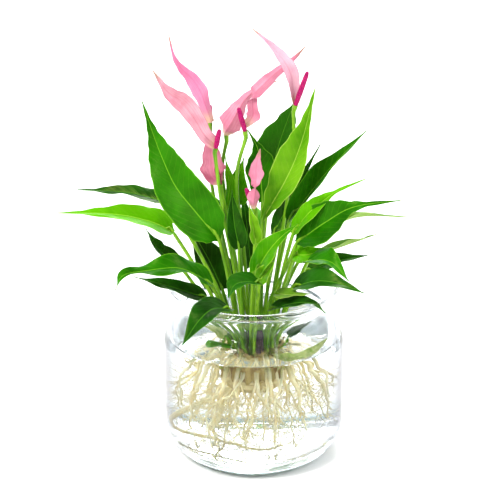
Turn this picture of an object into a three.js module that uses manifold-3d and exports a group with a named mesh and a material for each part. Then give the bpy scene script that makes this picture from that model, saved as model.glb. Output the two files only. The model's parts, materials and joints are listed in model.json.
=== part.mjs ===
// A small pink anthurium plant that stands with bare roots in a glass jar vase of water.
// Millimetres, +Z up. The origin is the middle of the vase's base, and the plant's showy side looks
// along -Y.
import * as THREE from 'three'
import { mergeVertices } from 'three/addons/utils/BufferGeometryUtils.js'
import Module from 'manifold-3d'

const wasm = await Module()
wasm.setup()

// ---- driving sizes ----
const clearGap = 0.3 // air between pieces that rest on each other
const bladeThickness = 0.8
const spatheThickness = 0.9

const jar = { height: 150, floor: 11, segments: 28 }
const waterLevel = 105
// The plant stands in a plain hole through the water.
const rootHole = { topRadius: 37, neck: 96, shoulder: 86, radius: 55, foot: 20, footRadius: 51 }

const crown = { y: -8, radius: 21, bottom: 66, top: 78, scales: 9, segments: 18 }
const oldStem = { radius: 4.8, top: 121 } // it stands up from the middle of the crown
// Leaf and flower stalks stand on the crown in three rings of evenly spaced spots.
const rings = {
  inner: { radius: 8, spots: 8 },
  middle: { radius: 13, spots: 14 },
  outer: { radius: 18.3, spots: 20 }
}
const stalk = { footRadius: 2.15, radius: 1.5, neckRadius: 0.7, sides: 5 }
const peduncle = { footRadius: 2.1, radius: 1.45, headRadius: 2.2, neckLength: 8, sides: 5 }
const rootMass = { discRadius: 16, discTop: 65.7, discBottom: 58, roots: 17, spread: 52 }
const rootlet = { perRoot: 4, radius: 0.62, shortest: 9, longest: 17 }
const floorRoot = { radius: 1.8, tipRadius: 1 } // the longest root, which lies on the vase's floor

const tones = { dark: 0x1d5c12, mid: 0x2f8418, bright: 0x58a828, lime: 0x86c440, olive: 0x6f9a3c }

// ---- helpers ----
const vec = ([x, y, z]) => new THREE.Vector3(x, y, z)
const radians = THREE.MathUtils.degToRad
const smooth = THREE.MathUtils.smoothstep

function splineThrough(points) {
  return new THREE.CatmullRomCurve3(points, false, 'catmullrom', 0.5)
}

function meshData(positions, faces) {
  const geometry = new THREE.BufferGeometry()
  geometry.setAttribute('position', new THREE.Float32BufferAttribute(positions, 3))
  geometry.setIndex(faces)
  return geometry
}

function solidOf(geometry) {
  const bare = geometry.clone()
  bare.deleteAttribute('normal')
  bare.deleteAttribute('uv')
  const merged = mergeVertices(bare, 1e-4)
  return new wasm.Manifold(new wasm.Mesh({
    numProp: 3,
    vertProperties: new Float32Array(merged.attributes.position.array),
    triVerts: new Uint32Array(merged.index.array)
  }))
}

function geometryOf(solid) {
  const mesh = solid.getMesh()
  return meshData(Array.from(mesh.vertProperties), Array.from(mesh.triVerts))
}

function joined(parts) {
  return parts.map(solidOf).reduce((sum, part) => sum.add(part))
}

// A closed round bar along a spline; radiusAt(t, side, row) gives its radius.
function bar(points, radiusAt, sides, rows) {
  const curve = splineThrough(points)
  const { normals, binormals } = curve.computeFrenetFrames(rows, false)
  const positions = []
  const faces = []
  for (let row = 0; row <= rows; row++) {
    const middle = curve.getPointAt(row / rows)
    for (let side = 0; side < sides; side++) {
      const angle = (side / sides) * Math.PI * 2
      const radius = radiusAt(row / rows, side, row)
      const point = middle.clone()
        .addScaledVector(normals[row], Math.cos(angle) * radius)
        .addScaledVector(binormals[row], Math.sin(angle) * radius)
      positions.push(...point.toArray())
    }
  }
  for (let row = 0; row < rows; row++) {
    for (let side = 0; side < sides; side++) {
      const here = row * sides + side
      const next = row * sides + ((side + 1) % sides)
      faces.push(here, next, next + sides, here, next + sides, here + sides)
    }
  }
  for (let side = 1; side < sides - 1; side++) {
    faces.push(0, side + 1, side)
    const last = rows * sides
    faces.push(last, last + side, last + side + 1)
  }
  return meshData(positions, faces)
}

// ---- blades: leaves and spathes ----
const bladeForm = {
  half: 10, // widest half width
  peak: 0.5, // how soon the blade widens
  taper: 1.3, // how long and thin the tip is drawn out
  blunt: 0.04, // width left at the foot
  lobe: 0.2, // how far the foot's lobes reach back past the stalk, in half widths
  fold: 12, // each half is folded up from the midrib by this angle
  cup: 18, // and curved by this angle out to its edge
  wave: 0.8, // height of the waved edge
  waves: 2,
  twist: [0, 0, 1] // turn of the blade in degrees, and where along it the turn starts and ends
}
const wideColumns = [-1, -0.5, 0, 0.5, 1]
const slimColumns = [-1, 0, 1]
const tipHalf = 0.4

function halfWidth(form, t) {
  const top = form.peak / (form.peak + form.taper)
  const most = Math.pow(top + form.blunt, form.peak) * Math.pow(1 - top, form.taper)
  const width = Math.pow(t + form.blunt, form.peak) * Math.pow(1 - t, form.taper)
  return Math.max(tipHalf, (form.half * width) / most)
}

function bladeFrame(form, curve, t) {
  const along = curve.getTangent(t)
  const chord = curve.getPoint(1).sub(curve.getPoint(0))
  const side = chord.cross(vec(form.face)).normalize()
  side.addScaledVector(along, -side.dot(along)).normalize()
  const [turn, from, to] = form.twist
  side.applyAxisAngle(along, radians(turn) * smooth(t, from, to))
  return { middle: curve.getPoint(t), along, side, up: side.clone().cross(along) }
}

// A point of the blade: t runs from the stalk to the tip, across from -1 to 1 between the edges.
function bladePoint(form, curve, t, across, offset) {
  const { middle, along, side, up } = bladeFrame(form, curve, t)
  const half = halfWidth(form, t)
  const cup = radians(form.cup)
  const fold = radians(form.fold)
  const out = (half * Math.sin(across * cup)) / cup
  const lift = (half * (1 - Math.cos(across * cup))) / cup + Math.abs(out) * Math.sin(fold)
  const ripple = form.wave * across * across * 4 * t * (1 - t) *
    Math.sin(2 * Math.PI * form.waves * t + (across < 0 ? 2 : 0))
  const back = form.lobe * form.half * across * across * Math.pow(1 - t, 5)
  const slope = across * cup + Math.sign(across) * fold
  return middle
    .addScaledVector(side, out * Math.cos(fold) - offset * Math.sin(slope))
    .addScaledVector(up, lift + ripple + offset * Math.cos(slope))
    .addScaledVector(along, -back)
}

// A thin closed blade, split into triangles alike on both faces.
function blade(form, rows, thickness) {
  const curve = splineThrough([form.joint, ...form.path, form.tip].map(vec))
  const columns = form.half > 9.5 ? wideColumns : slimColumns
  const positions = []
  const faces = []
  const count = columns.length
  const layer = (rows + 1) * count
  for (const offset of [thickness / 2, -thickness / 2]) {
    for (let row = 0; row <= rows; row++) {
      for (const across of columns) {
        positions.push(...bladePoint(form, curve, row / rows, across, offset).toArray())
      }
    }
  }
  for (let row = 0; row < rows; row++) {
    for (let column = 0; column < count - 1; column++) {
      const a = row * count + column
      const b = a + 1
      const c = b + count
      const d = a + count
      const split = column < (count - 1) / 2 ? [a, b, c, a, c, d] : [a, b, d, b, c, d]
      faces.push(...split, ...split.map(v => v + layer).reverse())
    }
  }
  const rim = []
  for (let column = 0; column < count - 1; column++) rim.push(column)
  for (let row = 0; row < rows; row++) rim.push(row * count + count - 1)
  for (let column = count - 1; column > 0; column--) rim.push(rows * count + column)
  for (let row = rows; row > 0; row--) rim.push(row * count)
  rim.forEach((here, i) => {
    const next = rim[(i + 1) % rim.length]
    faces.push(here, here + layer, next + layer, here, next + layer, next)
  })
  return meshData(positions, faces)
}

function crownSpot([ring, spot], height) {
  const { radius, spots } = rings[ring]
  const angle = (spot / spots) * Math.PI * 2
  return new THREE.Vector3(radius * Math.cos(angle), crown.y + radius * Math.sin(angle), height)
}

// The way of a stalk from its spot on the crown to the blade or flower that it carries: it rises
// steeply first and leans out later, unless it is given points to pass.
function stalkPath(form, end) {
  const foot = crownSpot(form.spot, crown.top + clearGap)
  const leg = foot.clone().setZ(foot.z + 6)
  if (form.via) return [foot, leg, ...form.via.map(vec), end]
  const bend = foot.clone().lerp(end, 0.32).setZ(foot.z + (end.z - foot.z) * 0.5)
  return [foot, leg, bend, end]
}

function leafSolid(settings) {
  const form = { ...bladeForm, ...settings }
  const curve = splineThrough([form.joint, ...form.path, form.tip].map(vec))
  const rows = THREE.MathUtils.clamp(Math.round(curve.getLength() / 14), 5, 10)
  const rib = bladePoint(form, curve, 0.12, 0, -bladeThickness / 2)
  const path = [...stalkPath(form, vec(form.joint)), rib]
  const length = splineThrough(path).getLength()
  const stalkRadius = t => {
    const foot = stalk.footRadius - stalk.radius
    const neck = (stalk.radius - stalk.neckRadius) * Math.max(0, t - 0.9) * 10
    return stalk.radius + foot * (1 - smooth(t, 0, 0.22)) - neck
  }
  const steps = THREE.MathUtils.clamp(Math.round(length / 24), 4, 6)
  return joined([blade(form, rows, bladeThickness), bar(path, stalkRadius, stalk.sides, steps)])
}

// ---- leaves ----
// spot: ring and place on the crown; joint, path and tip: the midrib; face: where the upper side looks.
const leaves = {
  leaf_tall_left: {
    spot: ['middle', 8], joint: [-28, -18, 194], path: [[-48, -18, 223], [-70, -14, 257]],
    tip: [-88, -6, 308], half: 24, taper: 1.5, face: [0.3, -0.85, 0.35], fold: 9, wave: 0.6, tone: 'mid'
  },
  leaf_tall_right: {
    spot: ['inner', 7], joint: [8, -15, 212], path: [[22, -20, 248], [37, -20, 280]],
    tip: [48, -12, 321], half: 17, face: [-0.5, -0.8, 0.3], fold: 24, wave: 1.2, tone: 'lime'
  },
  leaf_upright_back_right: {
    spot: ['middle', 3], joint: [12, 11, 224], path: [[19, 14, 259]],
    tip: [32, 18, 298], half: 15, face: [-0.1, -0.9, 0.4], tone: 'dark'
  },
  leaf_upright_middle: {
    spot: ['inner', 1], joint: [7, 1, 220], path: [[7, 4, 249]],
    tip: [-5, 5, 278], half: 10, face: [0.1, -0.9, 0.3], fold: 18, tone: 'dark'
  },
  leaf_right_rising: {
    spot: ['middle', 1], joint: [29, -10, 208], path: [[57, -14, 250]],
    tip: [90, -18, 288], half: 10, face: [-0.6, -0.4, 0.7], fold: 20, tone: 'mid'
  },
  leaf_right_narrow: {
    spot: ['inner', 0], joint: [18, 10, 193], path: [[34, 19, 226]],
    tip: [54, 22, 261], half: 8, face: [0.75, -0.3, 0.5], fold: 22, wave: 1.4, waves: 3, tone: 'dark'
  },
  leaf_right_pale: {
    spot: ['middle', 0], joint: [35, -12, 197], path: [[58, -17, 228]],
    tip: [93, -25, 251], half: 10, face: [-0.5, -0.5, 0.7], fold: 22, tone: 'lime'
  },
  leaf_right_broad: {
    spot: ['middle', 12], joint: [35, -25, 195], path: [[57, -38, 221], [77, -43, 235]],
    tip: [115, -44, 239], half: 16, face: [-0.1, -0.75, 0.65], fold: 10, taper: 1.6, tone: 'mid'
  },
  leaf_right_far: {
    spot: ['outer', 2], joint: [38, 6, 178], path: [[80, 8, 205]],
    tip: [127, 8, 203], half: 8, face: [-0.2, 0.1, 1], fold: 16, tone: 'olive'
  },
  leaf_right_behind: {
    spot: ['outer', 3], joint: [38, 22, 158], path: [[76, 26, 170]],
    tip: [102, 30, 178], half: 8, face: [-0.3, 0.2, 0.9], fold: 16, tone: 'olive'
  },
  leaf_right_short: {
    spot: ['middle', 13], joint: [33, -19, 176], path: [[48, -24, 181]],
    tip: [64, -30, 190], half: 8, face: [0, -0.6, 0.8], tone: 'bright'
  },
  leaf_right_drooping: {
    spot: ['outer', 0], joint: [40, -36, 184], path: [[52, -56, 198], [63, -66, 198]],
    tip: [75, -75, 182], half: 11, face: [0.1, -0.2, 1], fold: 16, tone: 'bright',
    via: [[27, -13, 138], [38, -26, 166]]
  },
  leaf_right_low_back: {
    spot: ['outer', 1], joint: [41, 2, 156], path: [[68, -2, 168]],
    tip: [93, -6, 175], half: 9, face: [0.1, -0.4, 0.9], tone: 'dark'
  },
  leaf_front_right_low: {
    spot: ['outer', 19], joint: [33, -40, 165], path: [[47, -60, 181], [66, -71, 182]],
    tip: [86, -80, 174], half: 11.5, lobe: 0.1, face: [0, -0.5, 0.85], tone: 'dark'
  },
  leaf_front_right_olive: {
    spot: ['outer', 18], joint: [18, -41, 157], path: [[29, -55, 162.5]],
    tip: [44, -63, 167], half: 6, face: [0, -0.55, 0.85], tone: 'olive',
    via: [[15.5, -25, 120], [18.5, -32, 144]]
  },
  leaf_over_right_rim: {
    spot: ['outer', 17], joint: [13, -42, 143], path: [[30, -56, 155], [47, -68, 161]],
    tip: [58, -78, 158], half: 7.5, face: [0.1, -0.5, 0.85], taper: 1.7, tone: 'dark'
  },
  leaf_front_slanted: {
    spot: ['middle', 11], joint: [9, -39, 177], path: [[17, -50, 201]],
    tip: [34, -58, 223], half: 11, face: [-0.5, -0.75, 0.4], lobe: 0.7, fold: 16, tone: 'bright'
  },
  leaf_front_small: {
    spot: ['outer', 16], joint: [4, -46, 170], path: [[10, -52, 181]],
    tip: [16, -56, 192], half: 7, face: [-0.3, -0.8, 0.5], fold: 20, taper: 1, tone: 'lime'
  },
  leaf_front_drooping: {
    spot: ['outer', 15], joint: [2, -56, 174], path: [[-8, -64, 180], [-17, -70, 179]],
    tip: [-21, -74, 170], half: 9, face: [-0.2, -0.4, 0.9], taper: 1, tone: 'dark'
  },
  leaf_over_left_rim: {
    spot: ['outer', 14], joint: [-22, -42, 144], path: [[-38, -60, 155], [-50, -78, 152]],
    tip: [-56, -92, 136], half: 15, face: [-0.3, -0.6, 0.75], fold: 8, taper: 1.1, tone: 'dark'
  },
  leaf_left_spread: {
    spot: ['outer', 11], joint: [-65, -12, 199], path: [[-83, -16, 212], [-115, -18, 219]],
    tip: [-157, -22, 219], half: 12, face: [0.1, -0.35, 0.9], fold: 10, taper: 1.5, tone: 'bright'
  },
  leaf_left_upper: {
    spot: ['outer', 9], joint: [-66, 18, 214], path: [[-102, 30, 219]],
    tip: [-146, 40, 212], half: 9, face: [0.1, -0.3, 0.9], tone: 'dark'
  },
  leaf_left_second: {
    spot: ['middle', 7], joint: [-58, 5, 200], path: [[-82, 8, 212]],
    tip: [-107, 12, 211], half: 8, face: [0.1, -0.2, 0.9], tone: 'olive'
  },
  leaf_left_back_low: {
    spot: ['outer', 10], joint: [-60, 8, 162], path: [[-76, 6, 177]],
    tip: [-87, 3, 195], half: 8, face: [0.5, -0.5, 0.7], tone: 'dark'
  },
  leaf_left_waved: {
    spot: ['outer', 13], joint: [-34, -36, 162], path: [[-56, -48, 183], [-90, -54, 188]],
    tip: [-109, -58, 172], half: 11, face: [0, -0.4, 0.9], wave: 2.2, waves: 2.6, tone: 'mid'
  },
  leaf_left_low: {
    spot: ['outer', 12], joint: [-39, -24, 148], path: [[-66, -34, 165]],
    tip: [-96, -38, 172], half: 9, face: [0.1, -0.5, 0.85], tone: 'dark'
  },
  leaf_behind_left: {
    spot: ['outer', 8], joint: [-26, 16, 134], path: [[-41, 26, 156]],
    tip: [-56, 36, 180], half: 15, face: [0.3, -0.9, 0.3], tone: 'dark'
  },
  leaf_middle_left: {
    spot: ['middle', 9], joint: [-10, -22, 189], path: [[-14, -22, 213]],
    tip: [-16, -18, 237], half: 8.5, face: [0.2, -0.9, 0.3], fold: 16, tone: 'dark'
  },
  leaf_left_slim: {
    spot: ['inner', 3], joint: [-22, 0, 208], path: [[-21, 1, 233]],
    tip: [-23, 2, 259], half: 5, face: [0.5, -0.8, 0.3], fold: 20, tone: 'mid'
  },
  leaf_middle_light: {
    spot: ['middle', 4], joint: [-12, 13, 212], path: [[-13, 15, 232]],
    tip: [-8, 17, 251], half: 9, face: [0.1, -0.9, 0.3], tone: 'bright'
  },
  leaf_middle_slim: {
    spot: ['middle', 10], joint: [1, -31, 197], path: [[-1, -32, 214]],
    tip: [-4, -33, 231], half: 6, face: [0.4, -0.8, 0.3], fold: 26, tone: 'lime'
  },
  leaf_middle_back: {
    spot: ['outer', 6], joint: [-3, 22, 166], path: [[-6, 26, 193]],
    tip: [-9, 28, 219], half: 8, face: [0.1, -0.9, 0.3], tone: 'dark'
  },
  leaf_back_left: {
    spot: ['outer', 7], joint: [-34, 42, 186], path: [[-50, 60, 197]],
    tip: [-66, 86, 190], half: 15, face: [0.2, -0.2, 0.9], tone: 'mid',
    via: [[-15, 18, 120], [-23, 32, 158]]
  },
  leaf_back: {
    spot: ['outer', 5], joint: [-3, 46, 165], path: [[-6, 72, 177]],
    tip: [-8, 104, 168], half: 15, face: [0, -0.2, 0.9], tone: 'bright'
  },
  leaf_back_right: {
    spot: ['outer', 4], joint: [22, 40, 176], path: [[39, 60, 188]],
    tip: [58, 86, 184], half: 14, face: [-0.1, -0.2, 0.9], tone: 'mid'
  }
}

// ---- flowers ----
// head: top of the flower stalk; path and tip: the spathe's midrib; spadix: its far end.
const spatheForm = {
  peak: 0.8, taper: 1.2, blunt: 0.1, lobe: 0.1, fold: 4, cup: 50, wave: 0.6, waves: 1.5,
  lift: 0.9, // height of its foot above the stalk's head
  room: 0.6 // between its foot and the middle of the spadix, besides their own thickness
}
const spadixForm = { radius: 2.1, sides: 8, rows: 9, relief: 0.07 }
const flowers = {
  flower_tall_left: {
    spot: ['middle', 6], head: [-35, 12, 283], path: [[-40, 14, 306], [-51, 16, 329]],
    tip: [-67, 16, 355], half: 10, face: [0.8, 0.5, 0.2], spadix: [-31, 14, 298],
    via: [[-19, 10, 150], [-34, 13, 229]], pink: 0xf58ab6
  },
  flower_left: {
    spot: ['inner', 5], head: [-30, -16, 272], path: [[-40, -17, 293], [-55, -18, 314]],
    tip: [-78, -22, 338], half: 12, face: [0.3, -0.85, 0.3], spadix: [-27, -21, 289],
    via: [[-11, -17, 150], [-20, -19, 218]], pink: 0xf4aac4
  },
  flower_low_left: {
    spot: ['inner', 4], head: [-27, -8, 238], path: [[-33, 0, 252], [-39, 8, 264]],
    tip: [-44, 12, 277], half: 12, face: [0, -0.9, 0.2], spadix: [-30, -13, 255],
    via: [[-12, -9, 150], [-22, -8, 212]], pink: 0xee9cb8
  },
  flower_middle_back: {
    spot: ['middle', 5], head: [-22, 10, 274], path: [[-18, 12, 290], [-6, 12, 303]],
    tip: [18, 12, 318], half: 9, face: [-0.8, -0.4, 0.5], spadix: [-24, 6, 286],
    via: [[-13, 8, 150], [-25, 9, 236]], pink: 0xf2a3bf
  },
  flower_middle: {
    spot: ['inner', 2], head: [-7, -10, 284], path: [[2, -5, 301], [6, -6, 319], [20, -8, 338]],
    tip: [40, -8, 353], half: 8, face: [0.2, -0.9, 0.3], twist: [150, 0.25, 0.75], cup: 36, lobe: 0, lift: 2.4,
    room: 1.1, spadix: [-12, -15, 305], via: [[-9, -3, 150], [-13, -7, 224]], pink: 0xf3a9c3
  },
  flower_tall_right: {
    spot: ['middle', 2], head: [32, 3, 301], path: [[28, 7, 324], [17, 9, 345]],
    tip: [-1, 9, 362], half: 10, face: [0.5, -0.8, 0.2], spadix: [41, -4, 330],
    via: [[18, 3, 150], [30, 5, 240]], pink: 0xf7c3d2
  },
  flower_small: {
    spot: ['inner', 6], head: [0, -27, 226], path: [[0, -26, 241], [2, -26, 258]],
    tip: [5, -26, 275], half: 7.5, face: [-0.3, -0.9, 0.2], twist: [100, 0.3, 0.6],
    spadix: [-6, -32, 244], via: [[0, -19, 150], [2, -24, 200]], pink: 0xf2a0bf
  }
}

function spadixRise(form) {
  return vec(form.spadix).sub(vec(form.head)).normalize()
}

// A flower stalk ends in line with its spadix, in a slightly wider head.
function peduncleSolid(form) {
  const radiusAt = t => {
    const foot = (peduncle.footRadius - peduncle.radius) * (1 - smooth(t, 0, 0.2))
    return peduncle.radius + foot + (peduncle.headRadius - peduncle.radius) * smooth(t, 0.95, 1)
  }
  const head = vec(form.head)
  const neck = head.clone().addScaledVector(spadixRise(form), -peduncle.neckLength)
  const way = stalkPath(form, head)
  way.splice(-1, 0, neck)
  return solidOf(bar(way, radiusAt, peduncle.sides, 9))
}

// The spathe's foot stands on the stalk's head, close behind the spadix.
function spatheSolid(settings) {
  const form = { ...bladeForm, ...spatheForm, ...settings }
  const head = vec(form.head)
  const rise = spadixRise(form)
  const behind = vec(form.face).normalize()
  behind.addScaledVector(rise, -behind.dot(rise)).normalize()
  const reach = spadixForm.radius * 0.75 + spatheThickness / 2 + form.room
  const joint = head.clone().addScaledVector(rise, form.lift).addScaledVector(behind, -reach).toArray()
  const curve = splineThrough([joint, ...form.path, form.tip].map(vec))
  const rows = THREE.MathUtils.clamp(Math.round(curve.getLength() / 9), 7, 11)
  return solidOf(blade({ ...form, joint }, rows, spatheThickness))
}

// Rows of small florets stand out of the spadix in a diamond pattern.
function spadixSolid(form) {
  const head = vec(form.head)
  const end = vec(form.spadix)
  const foot = head.clone().addScaledVector(spadixRise(form), 0.5)
  const bow = foot.clone().lerp(end, 0.5)
  const radiusAt = (t, side, row) => {
    const body = 0.72 + 0.28 * smooth(t, 0, 0.3) - 0.18 * t
    const round = t > 0.85 ? Math.sqrt(1 - Math.pow((t - 0.85) / 0.17, 2)) : 1
    const floret = 1 + spadixForm.relief * ((side + row) % 2 === 0 ? 1 : -1)
    return spadixForm.radius * body * round * floret
  }
  return solidOf(bar([foot, bow, end], radiusAt, spadixForm.sides, spadixForm.rows))
}

// ---- vase, water, crown and roots ----
const jarOutline = [
  [0, 0], [58, 0], [66, 2.2], [72, 8], [75, 17], [75, 98], [73.2, 105], [69.8, 113], [65.5, 119],
  [61, 122.6], [58.6, 127.6], [60, 133.4], [64, 139.8], [68.6, 145.6], [70.6, 149], [69.6, jar.height],
  [67.6, 149.2], [65.6, 146.6], [61, 141.2], [57.2, 135], [55.6, 127.4], [57.8, 121.2], [63.2, 117],
  [67.2, 111.6], [70.3, 104.4], [72, 97.6], [72, 24], [70.4, 16.6], [66, 12.4], [60, jar.floor],
  [0, jar.floor]
]

function turned(outline, segments) {
  const profile = outline.map(([radius, height]) => new THREE.Vector2(radius, height))
  const lathe = new THREE.LatheGeometry(profile, segments)
  return solidOf(lathe.rotateX(Math.PI / 2))
}

function waterSolid() {
  const hole = rootHole
  const bottom = jar.floor + clearGap
  return turned([
    [hole.footRadius, bottom], [59.8, bottom], [65.6, 12.8], [70, 17], [71.6, 24], [71.6, 97.4],
    [69.8, waterLevel], [hole.topRadius, waterLevel], [hole.topRadius, hole.neck],
    [hole.radius, hole.shoulder], [hole.radius, hole.foot], [hole.footRadius, bottom]
  ], jar.segments)
}

// A flat-topped disc with a ring of dry sheath scales and the dark old stem in its middle.
function crownSolid() {
  const { radius, bottom, top } = crown
  const stem = oldStem.radius
  const body = turned([
    [0, bottom], [radius - 5, bottom], [radius - 0.6, bottom + 4], [radius, top - 2.4], [radius - 0.8, top],
    [stem + 0.4, top], [stem + 0.1, top + 8], [stem - 0.5, top + 14], [stem + 0.3, top + 20],
    [stem - 0.4, top + 29], [stem - 0.2, oldStem.top - 3], [stem - 2, oldStem.top], [0, oldStem.top]
  ], crown.segments).translate([0, crown.y, 0])
  const scales = Array.from({ length: crown.scales }, (_, i) => {
    const angle = ((i + 0.5) / crown.scales) * Math.PI * 2
    const at = (r, z) => [r * Math.cos(angle), crown.y + r * Math.sin(angle), z]
    const form = {
      ...bladeForm, joint: at(radius - 2, top - 8), path: [at(radius + 3, top - 4)],
      tip: at(radius + 6 + (i % 3) * 2, top + 3 - (i % 4) * 2), half: 4.6, lobe: 0, wave: 0.5,
      face: [-Math.cos(angle), -Math.sin(angle), 1]
    }
    return solidOf(blade(form, 3, 1.2))
  })
  return scales.reduce((sum, scale) => sum.add(scale), body)
}

function seededRandom(seed) {
  let state = seed
  return () => {
    state = (state * 1103515245 + 12345) % 2147483648
    return state / 2147483648
  }
}

// A side root sets out level from its main root and sinks to its end.
function rootletBar(from, turn, length, droop) {
  const lowest = jar.floor + clearGap + rootlet.radius
  const reach = Math.max(3, Math.min(length, rootMass.spread - Math.hypot(from.x, from.y)))
  const out = new THREE.Vector3(Math.cos(turn), Math.sin(turn), 0)
  const middle = from.clone().addScaledVector(out, reach * 0.5)
  const end = from.clone().addScaledVector(out, reach)
  middle.setZ(Math.max(lowest, from.z - length * 0.15))
  end.setZ(Math.max(lowest, from.z - length * droop))
  return bar([from, middle, end], t => rootlet.radius * (1 - 0.5 * t), 3, 2)
}

// Main roots fan out of a core under the crown and hang to different depths, with rootlets on them.
function rootsSolid() {
  const random = seededRandom(7)
  const between = (low, high) => low + (high - low) * random()
  const { discRadius, discTop, discBottom } = rootMass
  const goldenAngle = Math.PI * (3 - Math.sqrt(5))
  const place = (angle, radius, height) => new THREE.Vector3(
    radius * Math.cos(angle), crown.y * (1 - radius / 60) + radius * Math.sin(angle), height)
  const parts = [turned([
    [0, discBottom], [discRadius - 6, discBottom], [discRadius, discTop - 3], [discRadius - 1, discTop],
    [0, discTop]
  ], crown.segments).translate([0, crown.y, 0])]
  for (let i = 0; i < rootMass.roots; i++) {
    const central = i % 3 === 0 // every third root hangs down near the middle
    const angle = i * goldenAngle + between(-0.2, 0.2)
    const reach = central ? between(16, 26) : between(32, 48)
    const depth = central ? between(14, 24) : between(16, 42)
    const drift = between(-0.35, 0.35)
    const start = discRadius * (0.35 + 0.5 * ((i * 7) % rootMass.roots) / rootMass.roots)
    const path = [
      place(angle, start, discTop - 4), place(angle + drift * 0.3, start + (reach - start) * 0.45, 56),
      place(angle + drift * 0.7, start + (reach - start) * 0.85, (56 + depth) / 2),
      place(angle + drift, reach, depth)
    ]
    const thick = between(1.5, 2.1)
    parts.push(solidOf(bar(path, t => thick * (1 - 0.62 * t), 4, 6)))
    const curve = splineThrough(path)
    for (let j = 0; j < rootlet.perRoot; j++) {
      const from = curve.getPoint(0.35 + 0.6 * (j / rootlet.perRoot) + between(0, 0.08))
      const turn = angle + drift + between(-1.6, 1.6)
      const length = between(rootlet.shortest, rootlet.longest)
      parts.push(solidOf(rootletBar(from, turn, length, between(0.4, 0.9))))
    }
  }
  const down = [[-10, -12, 60], [-18, -17, 50], [-22, -20, 40], [-32, -22, 22]]
  const lying = [[-38, -24, 0], [-24, -34, 0], [-4, -40, 0], [18, -38, 0]]
    .map(([x, y]) => [x, y, jar.floor + clearGap + floorRoot.radius])
  const narrowing = floorRoot.radius - floorRoot.tipRadius
  const radiusAt = t => floorRoot.radius - narrowing * t
  parts.push(solidOf(bar([...down, ...lying].map(vec), radiusAt, 5, 13)))
  return parts.reduce((sum, part) => sum.add(part))
}

// ---- assembly ----
const group = new THREE.Group()
group.name = 'anthurium_in_vase'

function addPiece(name, solid, color, roughness, extra = {}) {
  const material = new THREE.MeshStandardMaterial({ color, roughness, metalness: 0, ...extra })
  const mesh = new THREE.Mesh(geometryOf(solid), material)
  mesh.name = name
  group.add(mesh)
}

addPiece('vase', turned(jarOutline, jar.segments), 0xe8f2f4, 0.05, { transparent: true, opacity: 0.35 })
addPiece('water', waterSolid(), 0xf2f7f8, 0.02, { transparent: true, opacity: 0.3 })
addPiece('crown', crownSolid(), 0x4a3238, 0.8)
addPiece('roots', rootsSolid(), 0xe9dfb4, 0.7)
for (const [name, form] of Object.entries(leaves)) {
  addPiece(name, leafSolid(form), tones[form.tone], 0.4)
}
for (const [name, form] of Object.entries(flowers)) {
  addPiece(`${name}_stalk`, peduncleSolid(form), 0x93b83c, 0.5)
  addPiece(`${name}_spathe`, spatheSolid(form), form.pink, 0.45)
  addPiece(`${name}_spadix`, spadixSolid(form), 0xc4156b, 0.6)
}

export default group
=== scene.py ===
# A small pink anthurium plant with bare roots, in a glass jar vase of water.
# Tables are in millimetres, Blender's objects in metres; +Z is up and the showy side looks along -Y.
import json
import math
import random
import bpy
from mathutils import Matrix, Vector, noise

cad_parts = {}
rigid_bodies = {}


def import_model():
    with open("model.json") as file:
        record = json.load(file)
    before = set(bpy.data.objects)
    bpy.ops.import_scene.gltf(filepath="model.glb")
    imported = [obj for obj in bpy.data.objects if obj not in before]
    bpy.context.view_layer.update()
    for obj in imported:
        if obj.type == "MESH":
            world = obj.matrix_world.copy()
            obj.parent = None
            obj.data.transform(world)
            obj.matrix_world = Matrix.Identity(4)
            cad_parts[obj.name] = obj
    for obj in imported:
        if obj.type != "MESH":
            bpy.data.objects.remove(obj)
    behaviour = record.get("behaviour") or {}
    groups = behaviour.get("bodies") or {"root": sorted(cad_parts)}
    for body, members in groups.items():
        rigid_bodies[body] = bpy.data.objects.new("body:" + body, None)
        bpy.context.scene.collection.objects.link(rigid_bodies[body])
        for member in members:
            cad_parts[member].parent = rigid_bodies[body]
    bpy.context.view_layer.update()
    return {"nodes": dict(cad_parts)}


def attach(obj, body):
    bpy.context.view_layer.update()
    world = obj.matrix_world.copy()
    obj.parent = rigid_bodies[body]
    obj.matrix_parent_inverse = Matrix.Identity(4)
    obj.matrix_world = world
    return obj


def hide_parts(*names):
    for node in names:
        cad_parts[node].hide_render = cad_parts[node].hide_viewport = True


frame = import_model()
mm = 0.001
goldenAngle = 2.39996
scene = bpy.context.scene
print("frame loaded:", len(frame["nodes"]), "solids")


# ---- camera, light and floor ----
cameraView = {"place": (-3.0, -1398.5, 793.9), "tilt": 66.2, "lens": 134.7, "sensor": 36}
camera = bpy.data.objects.new("camera", bpy.data.cameras.new("camera"))
camera.location = Vector(cameraView["place"]) * mm
camera.rotation_euler = (math.radians(cameraView["tilt"]), 0, 0)
camera.data.lens = cameraView["lens"]
camera.data.sensor_width = cameraView["sensor"]
camera.data.clip_start = 0.05
scene.collection.objects.link(camera)
scene.camera = camera


def put(tree, kind, inputs=None, **settings):
    # adds a node; an input that is given a socket is linked, any other is set
    node = tree.nodes.new(kind)
    for key, value in settings.items():
        setattr(node, key, value)
    for key, value in (inputs or {}).items():
        if isinstance(value, bpy.types.NodeSocket):
            tree.links.new(value, node.inputs[key])
        else:
            node.inputs[key].default_value = value
    return node


def reckon(tree, operation, first, second=0.0):
    return put(tree, "ShaderNodeMath", {0: first, 1: second}, operation=operation).outputs[0]


def vectors(tree, operation, first, second=None, scale=None):
    inputs = {0: first}
    if second is not None:
        inputs[1] = second
    if scale is not None:
        inputs["Scale"] = scale
    return put(tree, "ShaderNodeVectorMath", inputs, operation=operation).outputs[0]


def distance(tree, vector):
    return put(tree, "ShaderNodeVectorMath", {0: vector}, operation="LENGTH").outputs["Value"]


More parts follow.
